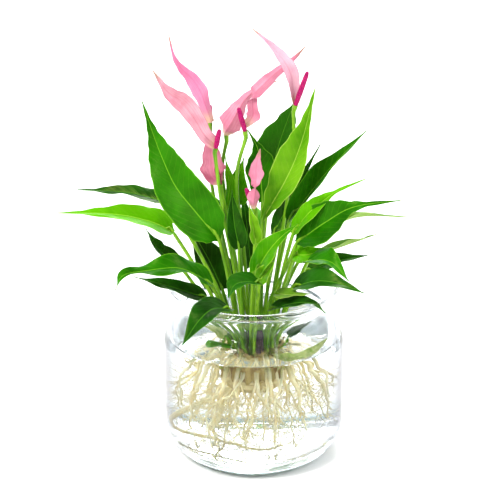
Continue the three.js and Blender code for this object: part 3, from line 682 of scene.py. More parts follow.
# each leaf: its spot on the crown, where stalk and blade meet, points along the midrib, the tip, the way
# its upper side faces, and whatever differs from bladeForm; via are points that the stalk passes, and
# widths are rows of the share of the way along the blade and half the width there
leaves = {
    "leaf_tall_left": dict(
        spot=("middle", 8), joint=(-28, -18, 194),
        path=((-45.5, -18, 217), (-62, -16, 239), (-72, -13, 261), (-80, -10, 283)),
        tip=(-88, -6, 308), half=24, face=(0.1, -0.85, 0.35), wave=1.4, lobe=0, tone="mid", shade=0.2,
        widths=((0, 2), (0.05, 11), (0.12, 18), (0.22, 20.4), (0.33, 20), (0.43, 18.6), (0.53, 15.6),
                (0.63, 12), (0.72, 7.8), (0.81, 4.2), (0.9, 1.7), (1, 0.35))),
    "leaf_tall_right": dict(
        spot=("inner", 7), joint=(8, -15, 212), path=((26, -20, 248), (38, -20, 280)), tip=(48, -12, 321),
        half=16, face=(-0.4, -0.85, 0.3), fold=24, wave=2.4, waves=1.6, tone="lime",
        widths=((0, 2.2), (0.08, 5), (0.2, 10.5), (0.33, 14.4), (0.44, 14), (0.55, 13.4), (0.67, 9.8),
                (0.8, 5.2), (0.91, 2), (1, 0.35))),
    "leaf_upright_back_right": dict(
        spot=("middle", 3), joint=(12, 11, 224), path=((19, 14, 259),), tip=(32, 18, 298), half=15,
        face=(-0.1, -0.9, 0.4), tone="dark", shade=0.7,
        widths=((0, 3), (0.25, 13), (0.5, 18), (0.65, 15.5), (0.82, 8), (1, 0.35))),
    "leaf_upright_middle": dict(
        spot=("inner", 1), joint=(7, 1, 220), path=((5, 4, 246), (3, 5, 264)), tip=(-5, 5, 280), half=13,
        face=(0.1, -0.9, 0.3), fold=14, tone="mid",
        widths=((0, 3), (0.18, 10.5), (0.38, 13.6), (0.52, 11), (0.66, 5), (0.78, 1.8), (0.88, 0.8),
                (1, 0.35))),
    "leaf_right_rising": dict(
        spot=("middle", 1), joint=(29, -10, 208), path=((58, -14, 250.5),), tip=(88.5, -18, 287.5),
        half=12.5, face=(-0.6, -0.4, 0.7), fold=20, tone="mid"),
    "leaf_right_narrow": dict(
        spot=("inner", 0), joint=(16, 8, 188), path=((26, 15, 206), (36, 20, 227)), tip=(54, 22, 261),
        half=8.5, face=(0.2, -0.8, 0.5), fold=16, wave=1.4, waves=3, tone="dark",
        widths=((0, 2), (0.1, 6), (0.25, 8.5), (0.42, 8.2), (0.6, 5), (0.8, 2), (0.92, 0.8), (1, 0.35))),
    "leaf_right_pale": dict(
        spot=("middle", 0), joint=(31.5, -20, 200),
        path=((42, -30, 220.5), (52, -32, 231), (66, -31, 241.5)),
        tip=(88, -29, 251), half=8, face=(-0.4, -0.7, 0.6), fold=16, tone="bright", shade=0.4,
        widths=((0, 2.5), (0.12, 7), (0.28, 8), (0.45, 7), (0.6, 4.6), (0.75, 2), (0.9, 0.7), (1, 0.35))),
    "leaf_right_broad": dict(
        spot=("middle", 12), joint=(35, -25, 195), path=((57, -38, 218), (79, -43, 233)),
        tip=(115, -44, 239), half=16, face=(-0.1, -0.78, 0.6), fold=10, tone="mid",
        via=((12, -21, 136), (26, -25, 172)),
        widths=((0, 2), (0.1, 10), (0.2, 15.5), (0.3, 17.4), (0.43, 14.4), (0.55, 9.4), (0.66, 5),
                (0.78, 1.9), (1, 0.35))),
    "leaf_right_far": dict(
        spot=("outer", 2), joint=(38, 6, 178), path=((80, 8, 202),), tip=(127, 8, 203), half=8,
        face=(-0.2, 0.1, 1), fold=16, tone="olive"),
    "leaf_right_behind": dict(
        spot=("outer", 3), joint=(38, 22, 158), path=((76, 26, 170),), tip=(102, 30, 178), half=8,
        face=(-0.3, 0.2, 0.9), fold=16, tone="olive"),
    "leaf_right_short": dict(
        spot=("middle", 13), joint=(33, -21, 182), path=((44, -25, 184),), tip=(58, -30, 192), half=10,
        face=(0, -0.6, 0.8), tone="bright", shade=0.5),
    "leaf_right_drooping": dict(
        spot=("outer", 0), joint=(43, -37, 183), path=((54, -52, 191.5), (63.5, -63, 192)),
        tip=(74, -73, 182.5), half=11, face=(0.1, -0.6, 0.8), fold=16, wave=1.8, tone="mid", shade=0.5,
        via=((27, -13, 138), (38, -26, 166))),
    "leaf_right_low_back": dict(
        spot=("outer", 1), joint=(41, 2, 156), path=((68, -2, 168),), tip=(93, -6, 175), half=9,
        face=(0.1, -0.4, 0.9), tone="dark"),
    "leaf_front_right_low": dict(
        spot=("outer", 19), joint=(32, -40, 162), path=((48, -60, 176.5), (65, -71, 180)),
        tip=(86, -80, 175.5), half=11.5, lobe=0.1, face=(0, -0.55, 0.82), tone="dark", shade=0.3),
    "leaf_front_right_olive": dict(
        spot=("outer", 18), joint=(18, -41, 157), path=((29, -55, 162.5),), tip=(44, -63, 167), half=6,
        face=(0, -0.55, 0.85), tone="olive", via=((15.5, -25, 120), (18.5, -32, 144))),
    "leaf_over_right_rim": dict(
        spot=("outer", 17), joint=(13, -42, 143), path=((30, -56, 155), (47, -68, 161)),
        tip=(56, -77, 157), half=7.5, face=(0.1, -0.5, 0.85), taper=1.7, tone="dark"),
    "leaf_front_slanted": dict(
        spot=("middle", 11), joint=(2.5, -40, 177), path=((11, -50, 197), (21, -55, 212)),
        tip=(34, -58, 224.5), half=10, face=(-0.5, -0.75, 0.4), lobe=0.7, fold=16, tone="bright",
        shade=-0.2),
    "leaf_front_small": dict(
        spot=("outer", 16), joint=(4, -46, 170), path=((10, -52, 181),), tip=(16, -56, 192), half=7,
        face=(-0.3, -0.8, 0.5), fold=20, taper=1, tone="lime"),
    "leaf_front_drooping": dict(
        spot=("outer", 15), joint=(4, -56, 173), path=((-5, -64, 178), (-15, -70, 178)),
        tip=(-20, -74, 169), half=9.5, face=(-0.2, -0.5, 0.9), taper=1, tone="dark", shade=0.3),
    "leaf_over_left_rim": dict(
        spot=("outer", 14), joint=(-20, -42, 144), path=((-33, -59, 151.5), (-44, -77, 149)),
        tip=(-56, -92, 136), half=12.5, face=(-0.15, -0.6, 0.75), fold=10, taper=1.15, wave=1.6,
        tone="dark"),
    "leaf_left_spread": dict(
        spot=("outer", 11), joint=(-65, -12, 198), path=((-83, -16, 209), (-114, -18, 216.5)),
        tip=(-157, -22, 219), half=13.5, face=(0.1, -0.38, 0.9), fold=10, tone="bright", shade=0.5,
        widths=((0, 2), (0.12, 11), (0.26, 13.5), (0.42, 12.4), (0.58, 9), (0.74, 5), (0.88, 2.2),
                (1, 0.5))),
    "leaf_left_upper": dict(
        spot=("outer", 9), joint=(-66, 18, 210), path=((-102, 30, 215),), tip=(-146, 40, 214), half=9,
        face=(0.1, -0.3, 0.9), tone="dark",
        widths=((0, 2), (0.15, 7.6), (0.3, 9), (0.45, 8), (0.6, 5.6), (0.75, 3.6), (0.88, 2), (1, 0.5))),
    "leaf_left_second": dict(
        spot=("middle", 7), joint=(-58, 5, 198), path=((-82, 8, 204),), tip=(-107, 12, 205), half=8,
        face=(0.1, -0.2, 0.9), tone="olive"),
    "leaf_left_back_low": dict(
        spot=("outer", 10), joint=(-62, 8, 161), path=((-78.5, 6, 175.5),), tip=(-88, 3, 195), half=8,
        face=(0.5, -0.5, 0.7), tone="dark"),
    "leaf_left_waved": dict(
        spot=("outer", 13), joint=(-34, -36, 162),
        path=((-45, -41, 173), (-61, -49, 183), (-84, -54, 183), (-103, -57, 180)),
        tip=(-110, -58, 167), half=11, face=(0, -0.4, 0.9), wave=3, waves=2.8, tone="mid"),
    "leaf_left_low": dict(
        spot=("outer", 12), joint=(-39, -24, 145), path=((-66, -34, 159.5),), tip=(-96, -38, 170.5), half=8,
        face=(0.1, -0.5, 0.85), tone="dark"),
    "leaf_behind_left": dict(
        spot=("outer", 8), joint=(-26, 16, 134), path=((-38, 26, 158),), tip=(-54, 36, 183), half=17,
        face=(0.3, -0.9, 0.3), tone="dark"),
    "leaf_middle_left": dict(
        spot=("middle", 9), joint=(-12, -22, 189), path=((-16, -22, 213),), tip=(-17.5, -18, 237), half=8.5,
        face=(0.2, -0.9, 0.3), fold=16, tone="dark"),
    "leaf_left_slim": dict(
        spot=("inner", 3), joint=(-22, 0, 208), path=((-20, 1, 233),), tip=(-23, 2, 259), half=6.5,
        face=(0.5, -0.8, 0.3), fold=20, tone="bright"),
    "leaf_middle_light": dict(
        spot=("middle", 4), joint=(-12, 13, 212), path=((-13, 15, 232),), tip=(-8, 17, 251), half=9,
        face=(0.1, -0.9, 0.3), tone="bright"),
    "leaf_middle_slim": dict(
        spot=("middle", 10), joint=(1, -31, 197), path=((-1, -32, 214),), tip=(-4, -33, 231), half=6,
        face=(0.4, -0.8, 0.3), fold=26, tone="lime"),
    "leaf_middle_back": dict(
        spot=("outer", 6), joint=(-2, 21, 153), path=((-5, 24, 182),), tip=(-9, 28, 219), half=11,
        face=(0.1, -0.9, 0.3), tone="dark"),
    "leaf_back_left": dict(
        spot=("outer", 7), joint=(-34, 42, 186), path=((-50, 60, 197),), tip=(-66, 86, 190), half=15,
        face=(0.2, -0.2, 0.9), tone="mid", via=((-15, 18, 120), (-23, 32, 158))),
    "leaf_back": dict(
        spot=("outer", 5), joint=(-3, 46, 165), path=((-6, 72, 177),), tip=(-8, 104, 168), half=15,
        face=(0, -0.2, 0.9), tone="bright"),
    "leaf_back_right": dict(
        spot=("outer", 4), joint=(22, 40, 176), path=((39, 60, 188),), tip=(58, 86, 184), half=14,
        face=(-0.1, -0.2, 0.9), tone="mid"),
}


def addLeaf(node, settings, seed):
    form = {**bladeForm, **settings, "start": seed * 1.7}
    curve = [Vector(point) for point in (form["joint"], *form["path"], form["tip"])]
    form["reach"] = (curve[-1] - curve[0]).length
    # the stalk runs on under the midrib a little way
    under = 0.12
    rib = bladePoint(form, bladeFrame(form, curve, under), under, 0, -bladeSkin["thickness"] / 2)
    path = stalkPath(form, curve[0]) + [rib]
    chance = random.Random(seed + 40)
    shade = form.get("shade", chance.uniform(-0.25, 0.25))
    parts = [bladePart(form, curve, shade=shade), stalkPart(path, leafStalkRadius, 2, shade)]
    tone = form["tone"]
    piece = partsPiece(pieceName(node), parts, [leafTops[tone], leafUnders[tone], stalkSkin])
    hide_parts(node)
    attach(piece, "root")


for number, (node, settings) in enumerate(leaves.items()):
    addLeaf(node, settings, number)
print("leaves are grown:", len(leaves))


# ---- flowers ----
spatheForm = {
    "peak": 0.8, "taper": 1.2, "blunt": 0.1, "lobe": 0.1, "fold": 4, "cup": 50, "wave": 0.6,
    "waves": 1.5, "lift": 0.9, "room": 0.6, "thickness": 0.9, "tone": "mid",
}
spadixForm = {
    # florets is how many there are for each millimetre, core the radius that they stand on,
    # and profile the share of it from foot to tip
    "radius": 2.1, "core": 1.932, "floret": 0.36, "florets": 17.0,
    "profile": ((0.0, 0.74), (0.25, 0.96), (0.8, 0.86), (0.93, 0.7), (1.0, 0.18)),
}
peduncle = {"foot": 2.1, "radius": 1.45, "head": 2.2, "swollen": 0.2, "headStart": 0.94, "neck": 5}
# each flower: its spot on the crown, the stalk's head, points along the spathe's midrib and its tip,
# the spadix's tip, and whatever differs from spatheForm
flowers = {
    "flower_tall_left": dict(
        spot=("middle", 6), head=(-35, 12, 283),
        path=((-38.5, 8, 299), (-42.5, 10, 310), (-49, 15, 319), (-57, 16, 327), (-63, 16, 337)),
        tip=(-67, 16, 355), half=10, face=(-0.3, 0.85, 0.2), spadix=(-35, 15, 297),
        via=((-19, 10, 150), (-34, 13, 229)), tone="deep", cup=54, fold=10,
        widths=((0, 3.4), (0.12, 4.8), (0.22, 5.8), (0.34, 7.6), (0.46, 6.8), (0.62, 4.2), (0.76, 2.4),
                (0.9, 0.9), (1, 0.35))),
    "flower_left": dict(
        spot=("inner", 5), head=(-30, -16, 272),
        path=((-39, -16, 283), (-46, -17, 296), (-55, -18, 309), (-67, -20, 320)),
        tip=(-78, -22, 338), half=12, face=(0.2, -0.85, 0.35), spadix=(-27, -21, 289),
        via=((-14, -17, 156), (-25, -19, 222)), tone="blush", cup=56, fold=9,
        widths=((0, 4), (0.1, 6.4), (0.24, 6.6), (0.38, 7.8), (0.52, 8.9), (0.66, 8.8), (0.78, 6.2),
                (0.89, 2.6), (1, 0.35))),
    "flower_low_left": dict(
        spot=("inner", 4), head=(-27, -8, 238), path=((-32, -4, 245), (-33.5, 1, 255), (-35, 6, 265)),
        tip=(-40, 11, 277), half=12, face=(0.1, -0.9, 0.2), spadix=(-30, -13, 255),
        via=((-12, -9, 150), (-22, -8, 212)), cup=52, fold=8,
        widths=((0, 4.2), (0.14, 7.4), (0.26, 9.4), (0.36, 12.4), (0.46, 9), (0.6, 8.6), (0.72, 6.4),
                (0.86, 3), (1, 0.35))),
    "flower_middle_back": dict(
        spot=("middle", 5), head=(-22, 10, 274),
        path=((-21, 1, 282), (-17, 1, 289), (-12, 4, 297.5), (-6, 9, 305), (3, 12, 312)),
        tip=(18, 12, 318), half=9, face=(0.4, 0.8, 0.3), spadix=(-23, 9, 286),
        via=((-13, 8, 150), (-25, 9, 236)), cup=54, fold=8,
        widths=((0, 3.4), (0.08, 6.8), (0.22, 11.6), (0.34, 10.4), (0.48, 8), (0.64, 4.6), (0.82, 2),
                (1, 0.35))),
    "flower_middle": dict(
        spot=("inner", 2), head=(-7, -10, 284),
        path=((-1, -6, 295), (-1, -6, 304), (-1, -6, 312), (4, -5, 317.5), (11, -3, 324), (19, 1, 330),
              (30, 4, 338)),
        tip=(40, -5, 352), half=8, face=(0.2, -0.9, 0.3), twist=(172, 0.28, 0.46), cup=36, lobe=0,
        lift=2.4, room=1.1, spadix=(-12, -15, 305), via=((-9, -3, 150), (-13, -7, 222), (-13, -9, 252)),
        widths=((0, 2.6), (0.08, 4), (0.14, 6.6), (0.2, 4.6), (0.34, 4.2), (0.46, 5.6), (0.6, 5.4),
                (0.74, 3.8), (0.88, 1.8), (1, 0.35))),
    "flower_tall_right": dict(
        spot=("middle", 2), head=(33, 3, 301),
        path=((31, 4, 316), (28, 1, 330), (22, -1, 341), (12, 3, 352)),
        tip=(-1, 9, 362), half=10, face=(0.3, -0.85, 0.2), spadix=(42, -4, 331),
        via=((18, 3, 150), (31, 5, 255)), tone="pale", cup=56, fold=10,
        widths=((0, 3.4), (0.12, 4.6), (0.26, 5.6), (0.38, 6.6), (0.5, 6.8), (0.62, 5.2), (0.74, 3.2),
                (0.88, 1.3), (1, 0.35))),
    "flower_small": dict(
        spot=("inner", 6), head=(0, -27, 226),
        path=((0, -34, 235), (1, -33, 245), (2, -29, 253), (2, -27, 261)),
        tip=(5, -26, 275), half=7.5, face=(-0.2, 0.9, 0.2), twist=(165, 0.32, 0.5), spadix=(-6, -32, 244),
        via=((0, -19, 150), (2, -24, 200)), cup=44,
        widths=((0, 2.2), (0.1, 3.8), (0.25, 5.6), (0.4, 2.9), (0.5, 4), (0.66, 6.8), (0.8, 5), (0.92, 1.9),
                (1, 0.35))),
}


def spadixTree():
    # florets on a golden spiral round a tapered core
    tree, given, out = nodeTree("spadixFlorets", [
        ("Foot", "Vector"), ("Tip", "Vector"), ("Radius", "Float"), ("Florets", "Int"),
        ("Floret Size", "Float"), ("Material", "Material")])

    def thickness(place):
        curve = put(tree, "ShaderNodeFloatCurve", {"Value": place})
        line = curve.mapping.curves[0]
        first, *between, last = spadixForm["profile"]
        line.points[0].location = first
        line.points[1].location = last
        for spot in between:
            line.points.new(*spot)
        curve.mapping.update()
        return reckon(tree, "MULTIPLY", curve.outputs["Value"], given["Radius"])

    def scaled(vector, amount):
        return vectors(tree, "SCALE", vector, scale=amount)

    way = vectors(tree, "SUBTRACT", given["Tip"], given["Foot"])
    axis = vectors(tree, "NORMALIZE", way)
    side = vectors(tree, "NORMALIZE", vectors(tree, "CROSS_PRODUCT", axis, (0.0, 0.9, 0.31)))
    other = vectors(tree, "CROSS_PRODUCT", axis, side)
    index = put(tree, "GeometryNodeInputIndex").outputs[0]
    place = reckon(tree, "DIVIDE", reckon(tree, "ADD", index, 0.5), given["Florets"])
    angle = reckon(tree, "MULTIPLY", index, goldenAngle)
    away = vectors(tree, "ADD", scaled(side, reckon(tree, "COSINE", angle)),
                   scaled(other, reckon(tree, "SINE", angle)))
    middle = vectors(tree, "ADD", given["Foot"], scaled(way, place))
    spot = vectors(tree, "ADD", middle, scaled(away, thickness(place)))
    dots = put(tree, "GeometryNodePoints", {"Count": given["Florets"], "Position": spot})
    turned = put(tree, "FunctionNodeAlignRotationToVector", {"Vector": away}, axis="Z")
    bead = put(tree, "GeometryNodeMeshIcoSphere", {"Radius": given["Floret Size"], "Subdivisions": 2})
    placed = put(tree, "GeometryNodeInstanceOnPoints", {
        "Points": dots.outputs[0], "Instance": bead.outputs["Mesh"], "Rotation": turned.outputs[0],
        "Scale": randomNumber(tree, 0.85, 1.15, 5)})
    line = put(tree, "GeometryNodeCurvePrimitiveLine", {"Start": given["Foot"], "End": given["Tip"]})
    fine = put(tree, "GeometryNodeResampleCurve", {"Curve": line.outputs["Curve"], "Count": 14})
    factor = put(tree, "GeometryNodeSplineParameter").outputs["Factor"]
    core = tubeAlong(tree, fine.outputs["Curve"], 12, thickness(factor))
    finishTree(tree, joined(tree, placed.outputs["Instances"], core), given, out)
    return tree


def spadixMaterial(name, deep, light):
    material, tree, shader = newMaterial(name, Roughness=0.5, Specular_IOR_Level=0.3)
    spots = band(tree, grain(tree, 900, 2.0), 0.35, 0.65)
    paint(tree, shader, blended(tree, spots, deep, light), spots, 0.3, 0.0002)
    return material


spadixFlorets = spadixTree()
spadixSkins = {
    "fresh": spadixMaterial("spadixFresh", colour(152, 0, 84), colour(200, 10, 112)),
    "old": spadixMaterial("spadixOld", colour(110, 30, 60), colour(190, 70, 100)),
}


def spadixRise(form):
    return (Vector(form["spadix"]) - Vector(form["head"])).normalized()


def peduncleRadius(t):
    # swollen at its foot and widened under the flower
    radius = peduncle["radius"]
    foot = (peduncle["foot"] - radius) * (1 - smooth(t, 0, peduncle["swollen"]))
    return radius + foot + (peduncle["head"] - radius) * smooth(t, peduncle["headStart"], 1)


def addStalk(node, form):
    head = Vector(form["head"])
    path = stalkPath(form, head)
    path.insert(-1, head - spadixRise(form) * peduncle["neck"])
    piece = partsPiece(pieceName(node) + "Stalk", [stalkPart(path, peduncleRadius, 0)], [stalkSkin])
    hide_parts(node + "_stalk")
    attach(piece, "root")


def addSpathe(node, form):
    # its foot stands on the stalk's head, close behind the spadix
    rise = spadixRise(form)
    behind = Vector(form["face"]).normalized()
    behind = (behind - rise * behind.dot(rise)).normalized()
    reach = spadixForm["radius"] * 0.75 + form["thickness"] / 2 + form["room"]
    joint = Vector(form["head"]) + rise * form["lift"] - behind * reach
    curve = [joint] + [Vector(point) for point in (*form["path"], form["tip"])]
    skin = spatheSkins[form["tone"]]
    piece = partsPiece(pieceName(node) + "Spathe", [bladePart(form, curve, True)], [skin, skin])
    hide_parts(node + "_spathe")
    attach(piece, "root")


def addSpadix(node, form):
    foot = Vector(form["head"]) + spadixRise(form) * 0.5
    tip = Vector(form["spadix"])
    holder = pathObject("spadix", [[(foot * mm, 1.0), (tip * mm, 1.0)]])
    skin = spadixSkins["old" if node == "flower_low_left" else "fresh"]
    addNodes(holder, spadixFlorets, {
        "Foot": foot * mm, "Tip": tip * mm, "Radius": spadixForm["core"] * mm,
        "Florets": round(spadixForm["florets"] * (tip - foot).length),
        "Floret Size": spadixForm["floret"] * mm, "Material": skin})
    piece = meshPiece(pieceName(node) + "Spadix", plainMesh(holder))
    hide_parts(node + "_spadix")
    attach(piece, "root")


for number, (node, settings) in enumerate(flowers.items()):
    form = {**bladeForm, **spatheForm, **settings, "start": number * 2.3}
    addStalk(node, form)
    addSpathe(node, form)
    addSpadix(node, form)
print("flowers are open:", len(flowers))


# ---- crown, old stem and sheaths ----
crownForm = {
    # how much narrower it is at its bottom and at its top edge, and how far along that ends and starts
    "radius": 20.4, "bottom": 65, "steps": 60, "rows": 16, "lump": 0.9, "shoulder": (16.5, 13, 10, 7.6),
    "narrowed": 0.3, "narrowedTo": 0.45, "edge": 0.07, "edgeFrom": 0.8,
    # the old stem's rings, and how it tapers and flares at its foot
    "stem": 4.7, "stemTop": 121, "stemRows": 44, "stemRings": 7.3, "stemLump": 0.25,
    "ringOut": 0.35, "taper": 0.12, "flare": 1.2, "flareTo": 0.08,
    "sheaths": 22, "sheathHalf": (2.6, 5), "sheathLean": (2, 11), "sheathRise": (3, 7, 11, 20),
}


def noiseAt(x, y, z):
    return noise.noise(Vector((x, y, z)))


def crownRows():
    # radius, height and lumpiness of each row: a disc, narrower below, its top, and the ringed old stem
    form = crownForm
    bottom, top, stemTop = form["bottom"], crown["top"], form["stemTop"]
    rows = []
    for i in range(form["rows"] + 1):
        t = i / form["rows"]
        less = form["narrowed"] * (1 - smooth(t, 0, form["narrowedTo"]))
        less += form["edge"] * smooth(t, form["edgeFrom"], 1)
        rows.append((form["radius"] * (1 - less), bottom + (top - bottom) * t, form["lump"]))
    rows += [(radius, top + 0.1, 0.0) for radius in form["shoulder"]]
    for i in range(form["stemRows"] + 1):
        t = i / form["stemRows"]
        ring = form["ringOut"] * (1 - abs((t * form["stemRings"]) % 1 - 0.5) * 2) ** 3
        flare = form["flare"] * (1 - smooth(t, 0, form["flareTo"]))
        radius = form["stem"] * (1 - form["taper"] * t) + ring + flare
        rows.append((radius, top + 0.6 + (stemTop - top - 1) * t, form["stemLump"]))
    return rows + [(form["stem"] * 0.5, stemTop, 0.3)]


def crownBody():
    # the rows turned round the crown's axis, a little lumpy, and closed at both ends
    form = crownForm
    rows = crownRows()
    steps = form["steps"]
    points, faces, slots = [(0, crown["y"] * mm, form["bottom"] * mm)], [], []
    for radius, height, lump in rows:
        for j in range(steps):
            angle = j / steps * math.tau
            x, y = math.cos(angle), math.sin(angle)
            coarse = noiseAt(x * 2.6, y * 2.6, height * 0.16)
            fine = noiseAt(x * 7, y * 7, height * 0.4)
            points.append(tuple(aroundCrown(radius + lump * (coarse + 0.5 * fine), angle, height) * mm))
    points.append((0, crown["y"] * mm, (form["stemTop"] + 0.3) * mm))
    for j in range(steps):
        faces.append((0, 1 + (j + 1) % steps, 1 + j))
        slots.append(0)
    for row in range(len(rows) - 1):
        for j in range(steps):
            a, b = 1 + row * steps + j, 1 + row * steps + (j + 1) % steps
            faces.append((a, b, b + steps, a + steps))
            slots.append(0 if rows[row][1] <= crown["top"] + 0.2 else 1)
    last = 1 + (len(rows) - 1) * steps
    for j in range(steps):
        faces.append((last + j, last + (j + 1) % steps, len(points) - 1))
        slots.append(1)
    return {"points": points, "faces": faces, "material": slots}


def sheathPart(angle, chance, number):
    # a small thin papery sheath that stands out of the crown's side
    form = crownForm
    lean = chance.uniform(*form["sheathLean"])
    rise = chance.choice(form["sheathRise"]) + chance.uniform(0, 4)
    base = form["radius"] - 0.4
    turn = chance.uniform(-0.25, 0.25)
    curve = [aroundCrown(base, angle, 74 + chance.uniform(0, 3)),
             aroundCrown(base + 1.6 + lean * 0.3, angle + turn * 0.5, 77 + rise * 0.4),
             aroundCrown(base + 1.2 + lean, angle + turn, 78 + rise)]
    blade = {**bladeForm, "half": chance.uniform(*form["sheathHalf"]), "lobe": 0, "taper": 0.9, "fold": 8,
             "cup": 40, "wave": 1.2, "face": (-math.cos(angle), -math.sin(angle), 0.4), "start": number}
    part = bladePart(blade, curve, True)
    part["material"] = 2
    return part


def addCrown():
    # a lumpy rhizome, ringed by old sheaths, with the dark old stem out of its middle
    count = crownForm["sheaths"]
    chance = random.Random(5)
    parts = [crownBody()]
    for i in range(count):
        angle = (i + chance.uniform(-0.3, 0.3)) / count * math.tau
        parts.append(sheathPart(angle, chance, i))
    piece = partsPiece("crownRhizome", parts, [crownSkin, oldStemSkin, sheathSkin])
    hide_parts("crown")
    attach(piece, "root")


def crownMaterial():
    material, tree, shader = newMaterial("crownSkin", Roughness=0.75)
    patches = band(tree, grain(tree, 140, 4.0), 0.4, 0.66)
    skin = blended(tree, patches, colour(238, 226, 172), colour(206, 186, 124))
    rings = band(tree, grain(tree, 220, 2.0, (0.3, 0.3, 3.0)), 0.5, 0.75)
    skin = blended(tree, reckon(tree, "MULTIPLY", rings, 0.4), skin, colour(178, 150, 96))
    skin = blended(tree, heightBand(tree, 0.077, 0.084, 0.0, 0.9), skin, colour(84, 84, 28))
    paint(tree, shader, skin, reckon(tree, "ADD", patches, rings), 0.7, 0.0006)
    return material


def oldStemMaterial():
    material, tree, shader = newMaterial("oldStemSkin", Roughness=0.7)
    rings = band(tree, grain(tree, 150, 2.0, (0.25, 0.25, 3.0)), 0.4, 0.65)
    skin = blended(tree, rings, colour(28, 14, 18), colour(66, 44, 44))
    flecks = band(tree, grain(tree, 500, 3.0), 0.6, 0.72, 0.0, 0.5)
    skin = blended(tree, flecks, skin, colour(130, 106, 90))
    skin = blended(tree, heightBand(tree, 0.084, 0.096, 0.8, 0.0), skin, colour(190, 170, 116))
    paint(tree, shader, skin, rings, 0.6, 0.0006)
    return material


def sheathMaterial():
    material, tree, shader = newMaterial("sheathSkin", Roughness=0.6)
    streaks = band(tree, grain(tree, 260, 3.0, (1.0, 1.0, 0.25)), 0.35, 0.7)
    skin = blended(tree, streaks, colour(196, 178, 112), colour(142, 110, 58))
    dry = band(tree, attribute(tree, "along"), 0.6, 1.0, 0.0, 0.7)
    skin = blended(tree, dry, skin, colour(110, 76, 50))
    paint(tree, shader, skin, reckon(tree, "SUBTRACT", streaks, veinLines(tree, 0.2)), 0.5, 0.0004)
    return material


def strapMaterial():
    material, tree, shader = newMaterial("oldSheathGreen", Roughness=0.45, Specular_IOR_Level=0.25)
    streaks = band(tree, grain(tree, 200, 3.0, (1.0, 1.0, 0.3)), 0.35, 0.7)
    skin = blended(tree, streaks, colour(196, 206, 128), colour(136, 168, 62))
    edge = band(tree, attribute(tree, "across"), 0.8, 1.0, 0.0, 0.6)
    skin = blended(tree, edge, skin, colour(214, 206, 150))
    paint(tree, shader, skin, reckon(tree, "SUBTRACT", streaks, veinLines(tree, 0.2)), 0.3, 0.0003)
    return material


# what is left of older growth round the crown; each row starts with its material's number, see addOldParts
oldTubes = (
    # a dark stem, a cut stub and the stalks of two young leaves, with the radius at each end
    (0, ((4, -26, 86), (5, -29, 94), (5, -32, 112), (4, -33, 127)), 3.4, 2.9),
    (1, ((-17, -19, 90), (-23, -22, 97), (-29, -24, 102), (-37, -28, 105)), 2.4, 4),
    (3, ((19, -14, 78), (25, -18, 95), (29, -21, 110)), 1.5, 0.9),
    (3, ((-21, -14, 78), (-25, -20, 96), (-24, -27, 113)), 1.5, 0.9),
)
oldBlades = (
    # a sheath on the water and two young leaves: whether the veins run lengthwise, the shade and the form
    (2, ((16, -28, 84), (21, -44, 99), (31, -52, 104.4), (46, -43, 105.5), (60, -19, 105.7)), True, 0.1,
     dict(half=5, peak=0.5, taper=0.7, lobe=0, face=(0.1, -0.3, 1), fold=6, cup=20, wave=0.9, waves=2.4,
          start=1)),
    (1, ((29, -21, 110), (38, -25, 121), (46, -27, 127)), False, -0.1,
     dict(half=6.5, face=(-0.3, -0.7, 0.6), fold=18, start=3)),
    (2, ((-24, -27, 113), (-31, -30, 122), (-41, -31, 125)), False, 0.1,
     dict(half=7, face=(0.2, -0.8, 0.6), fold=10, start=5)),
)


def tubePart(number, points, first, last):
    return stalkPart([Vector(point) for point in points], lambda t: first + (last - first) * t, number)


def addOldParts():
    parts = [tubePart(*row) for row in oldTubes]
    for number, points, lengthwise, shade, settings in oldBlades:
        form = {**bladeForm, **settings}
        part = bladePart(form, [Vector(point) for point in points], lengthwise, shade)
        part["material"] = number
        parts.append(part)
    piece = partsPiece("oldParts", parts, [oldStemSkin, leafTops["dark"], strapSkin, stalkSkin])
    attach(piece, "root")


crownSkin = crownMaterial()
oldStemSkin = oldStemMaterial()
sheathSkin = sheathMaterial()
strapSkin = strapMaterial()
addCrown()
addOldParts()
print("crown and sheaths are made")


# ---- roots ----
rootForm = {
    "parts": 24, "step": 2.2, "wobble": 3.8, "sides": 8, "floor": 13.6, "wall": 67, "tip": 0.34,
}
rootletForm = {
    # side roots stand on the others below a height, lean along them and droop
    "spacing": 1.5, "share": 0.75, "radius": 0.36, "wobble": 3.0, "below": 70,
    "lean": 0.45, "droop": (0.0, 0.0, -0.22), "sizes": (0.4, 1.6),
}
deepRoots = {
    # thin roots from under the crown; near ones stay under it and far ones spread
    "count": 16, "start": 17, "drift": 0.5, "middle": 58, "depth": (14, 34), "thick": (0.45, 0.95),
    "near": {"reach": (12, 26), "start": (0.3, 0.8), "heights": (65, 60)},
    "far": {"reach": (26, 46), "start": (0.8, 1.05), "heights": (70, 66)},
}
collarRoots = {
    # roots that leave the crown's side high up, bend down at its edge and hide it
    "count": 26, "start": 18.6, "bend": 22.6, "edge": 24.4, "out": (26, 52),
    "high": (80, 90), "low": (18, 54), "lean": 0.022, "sway": 0.008, "thick": (0.55, 1.4),
}
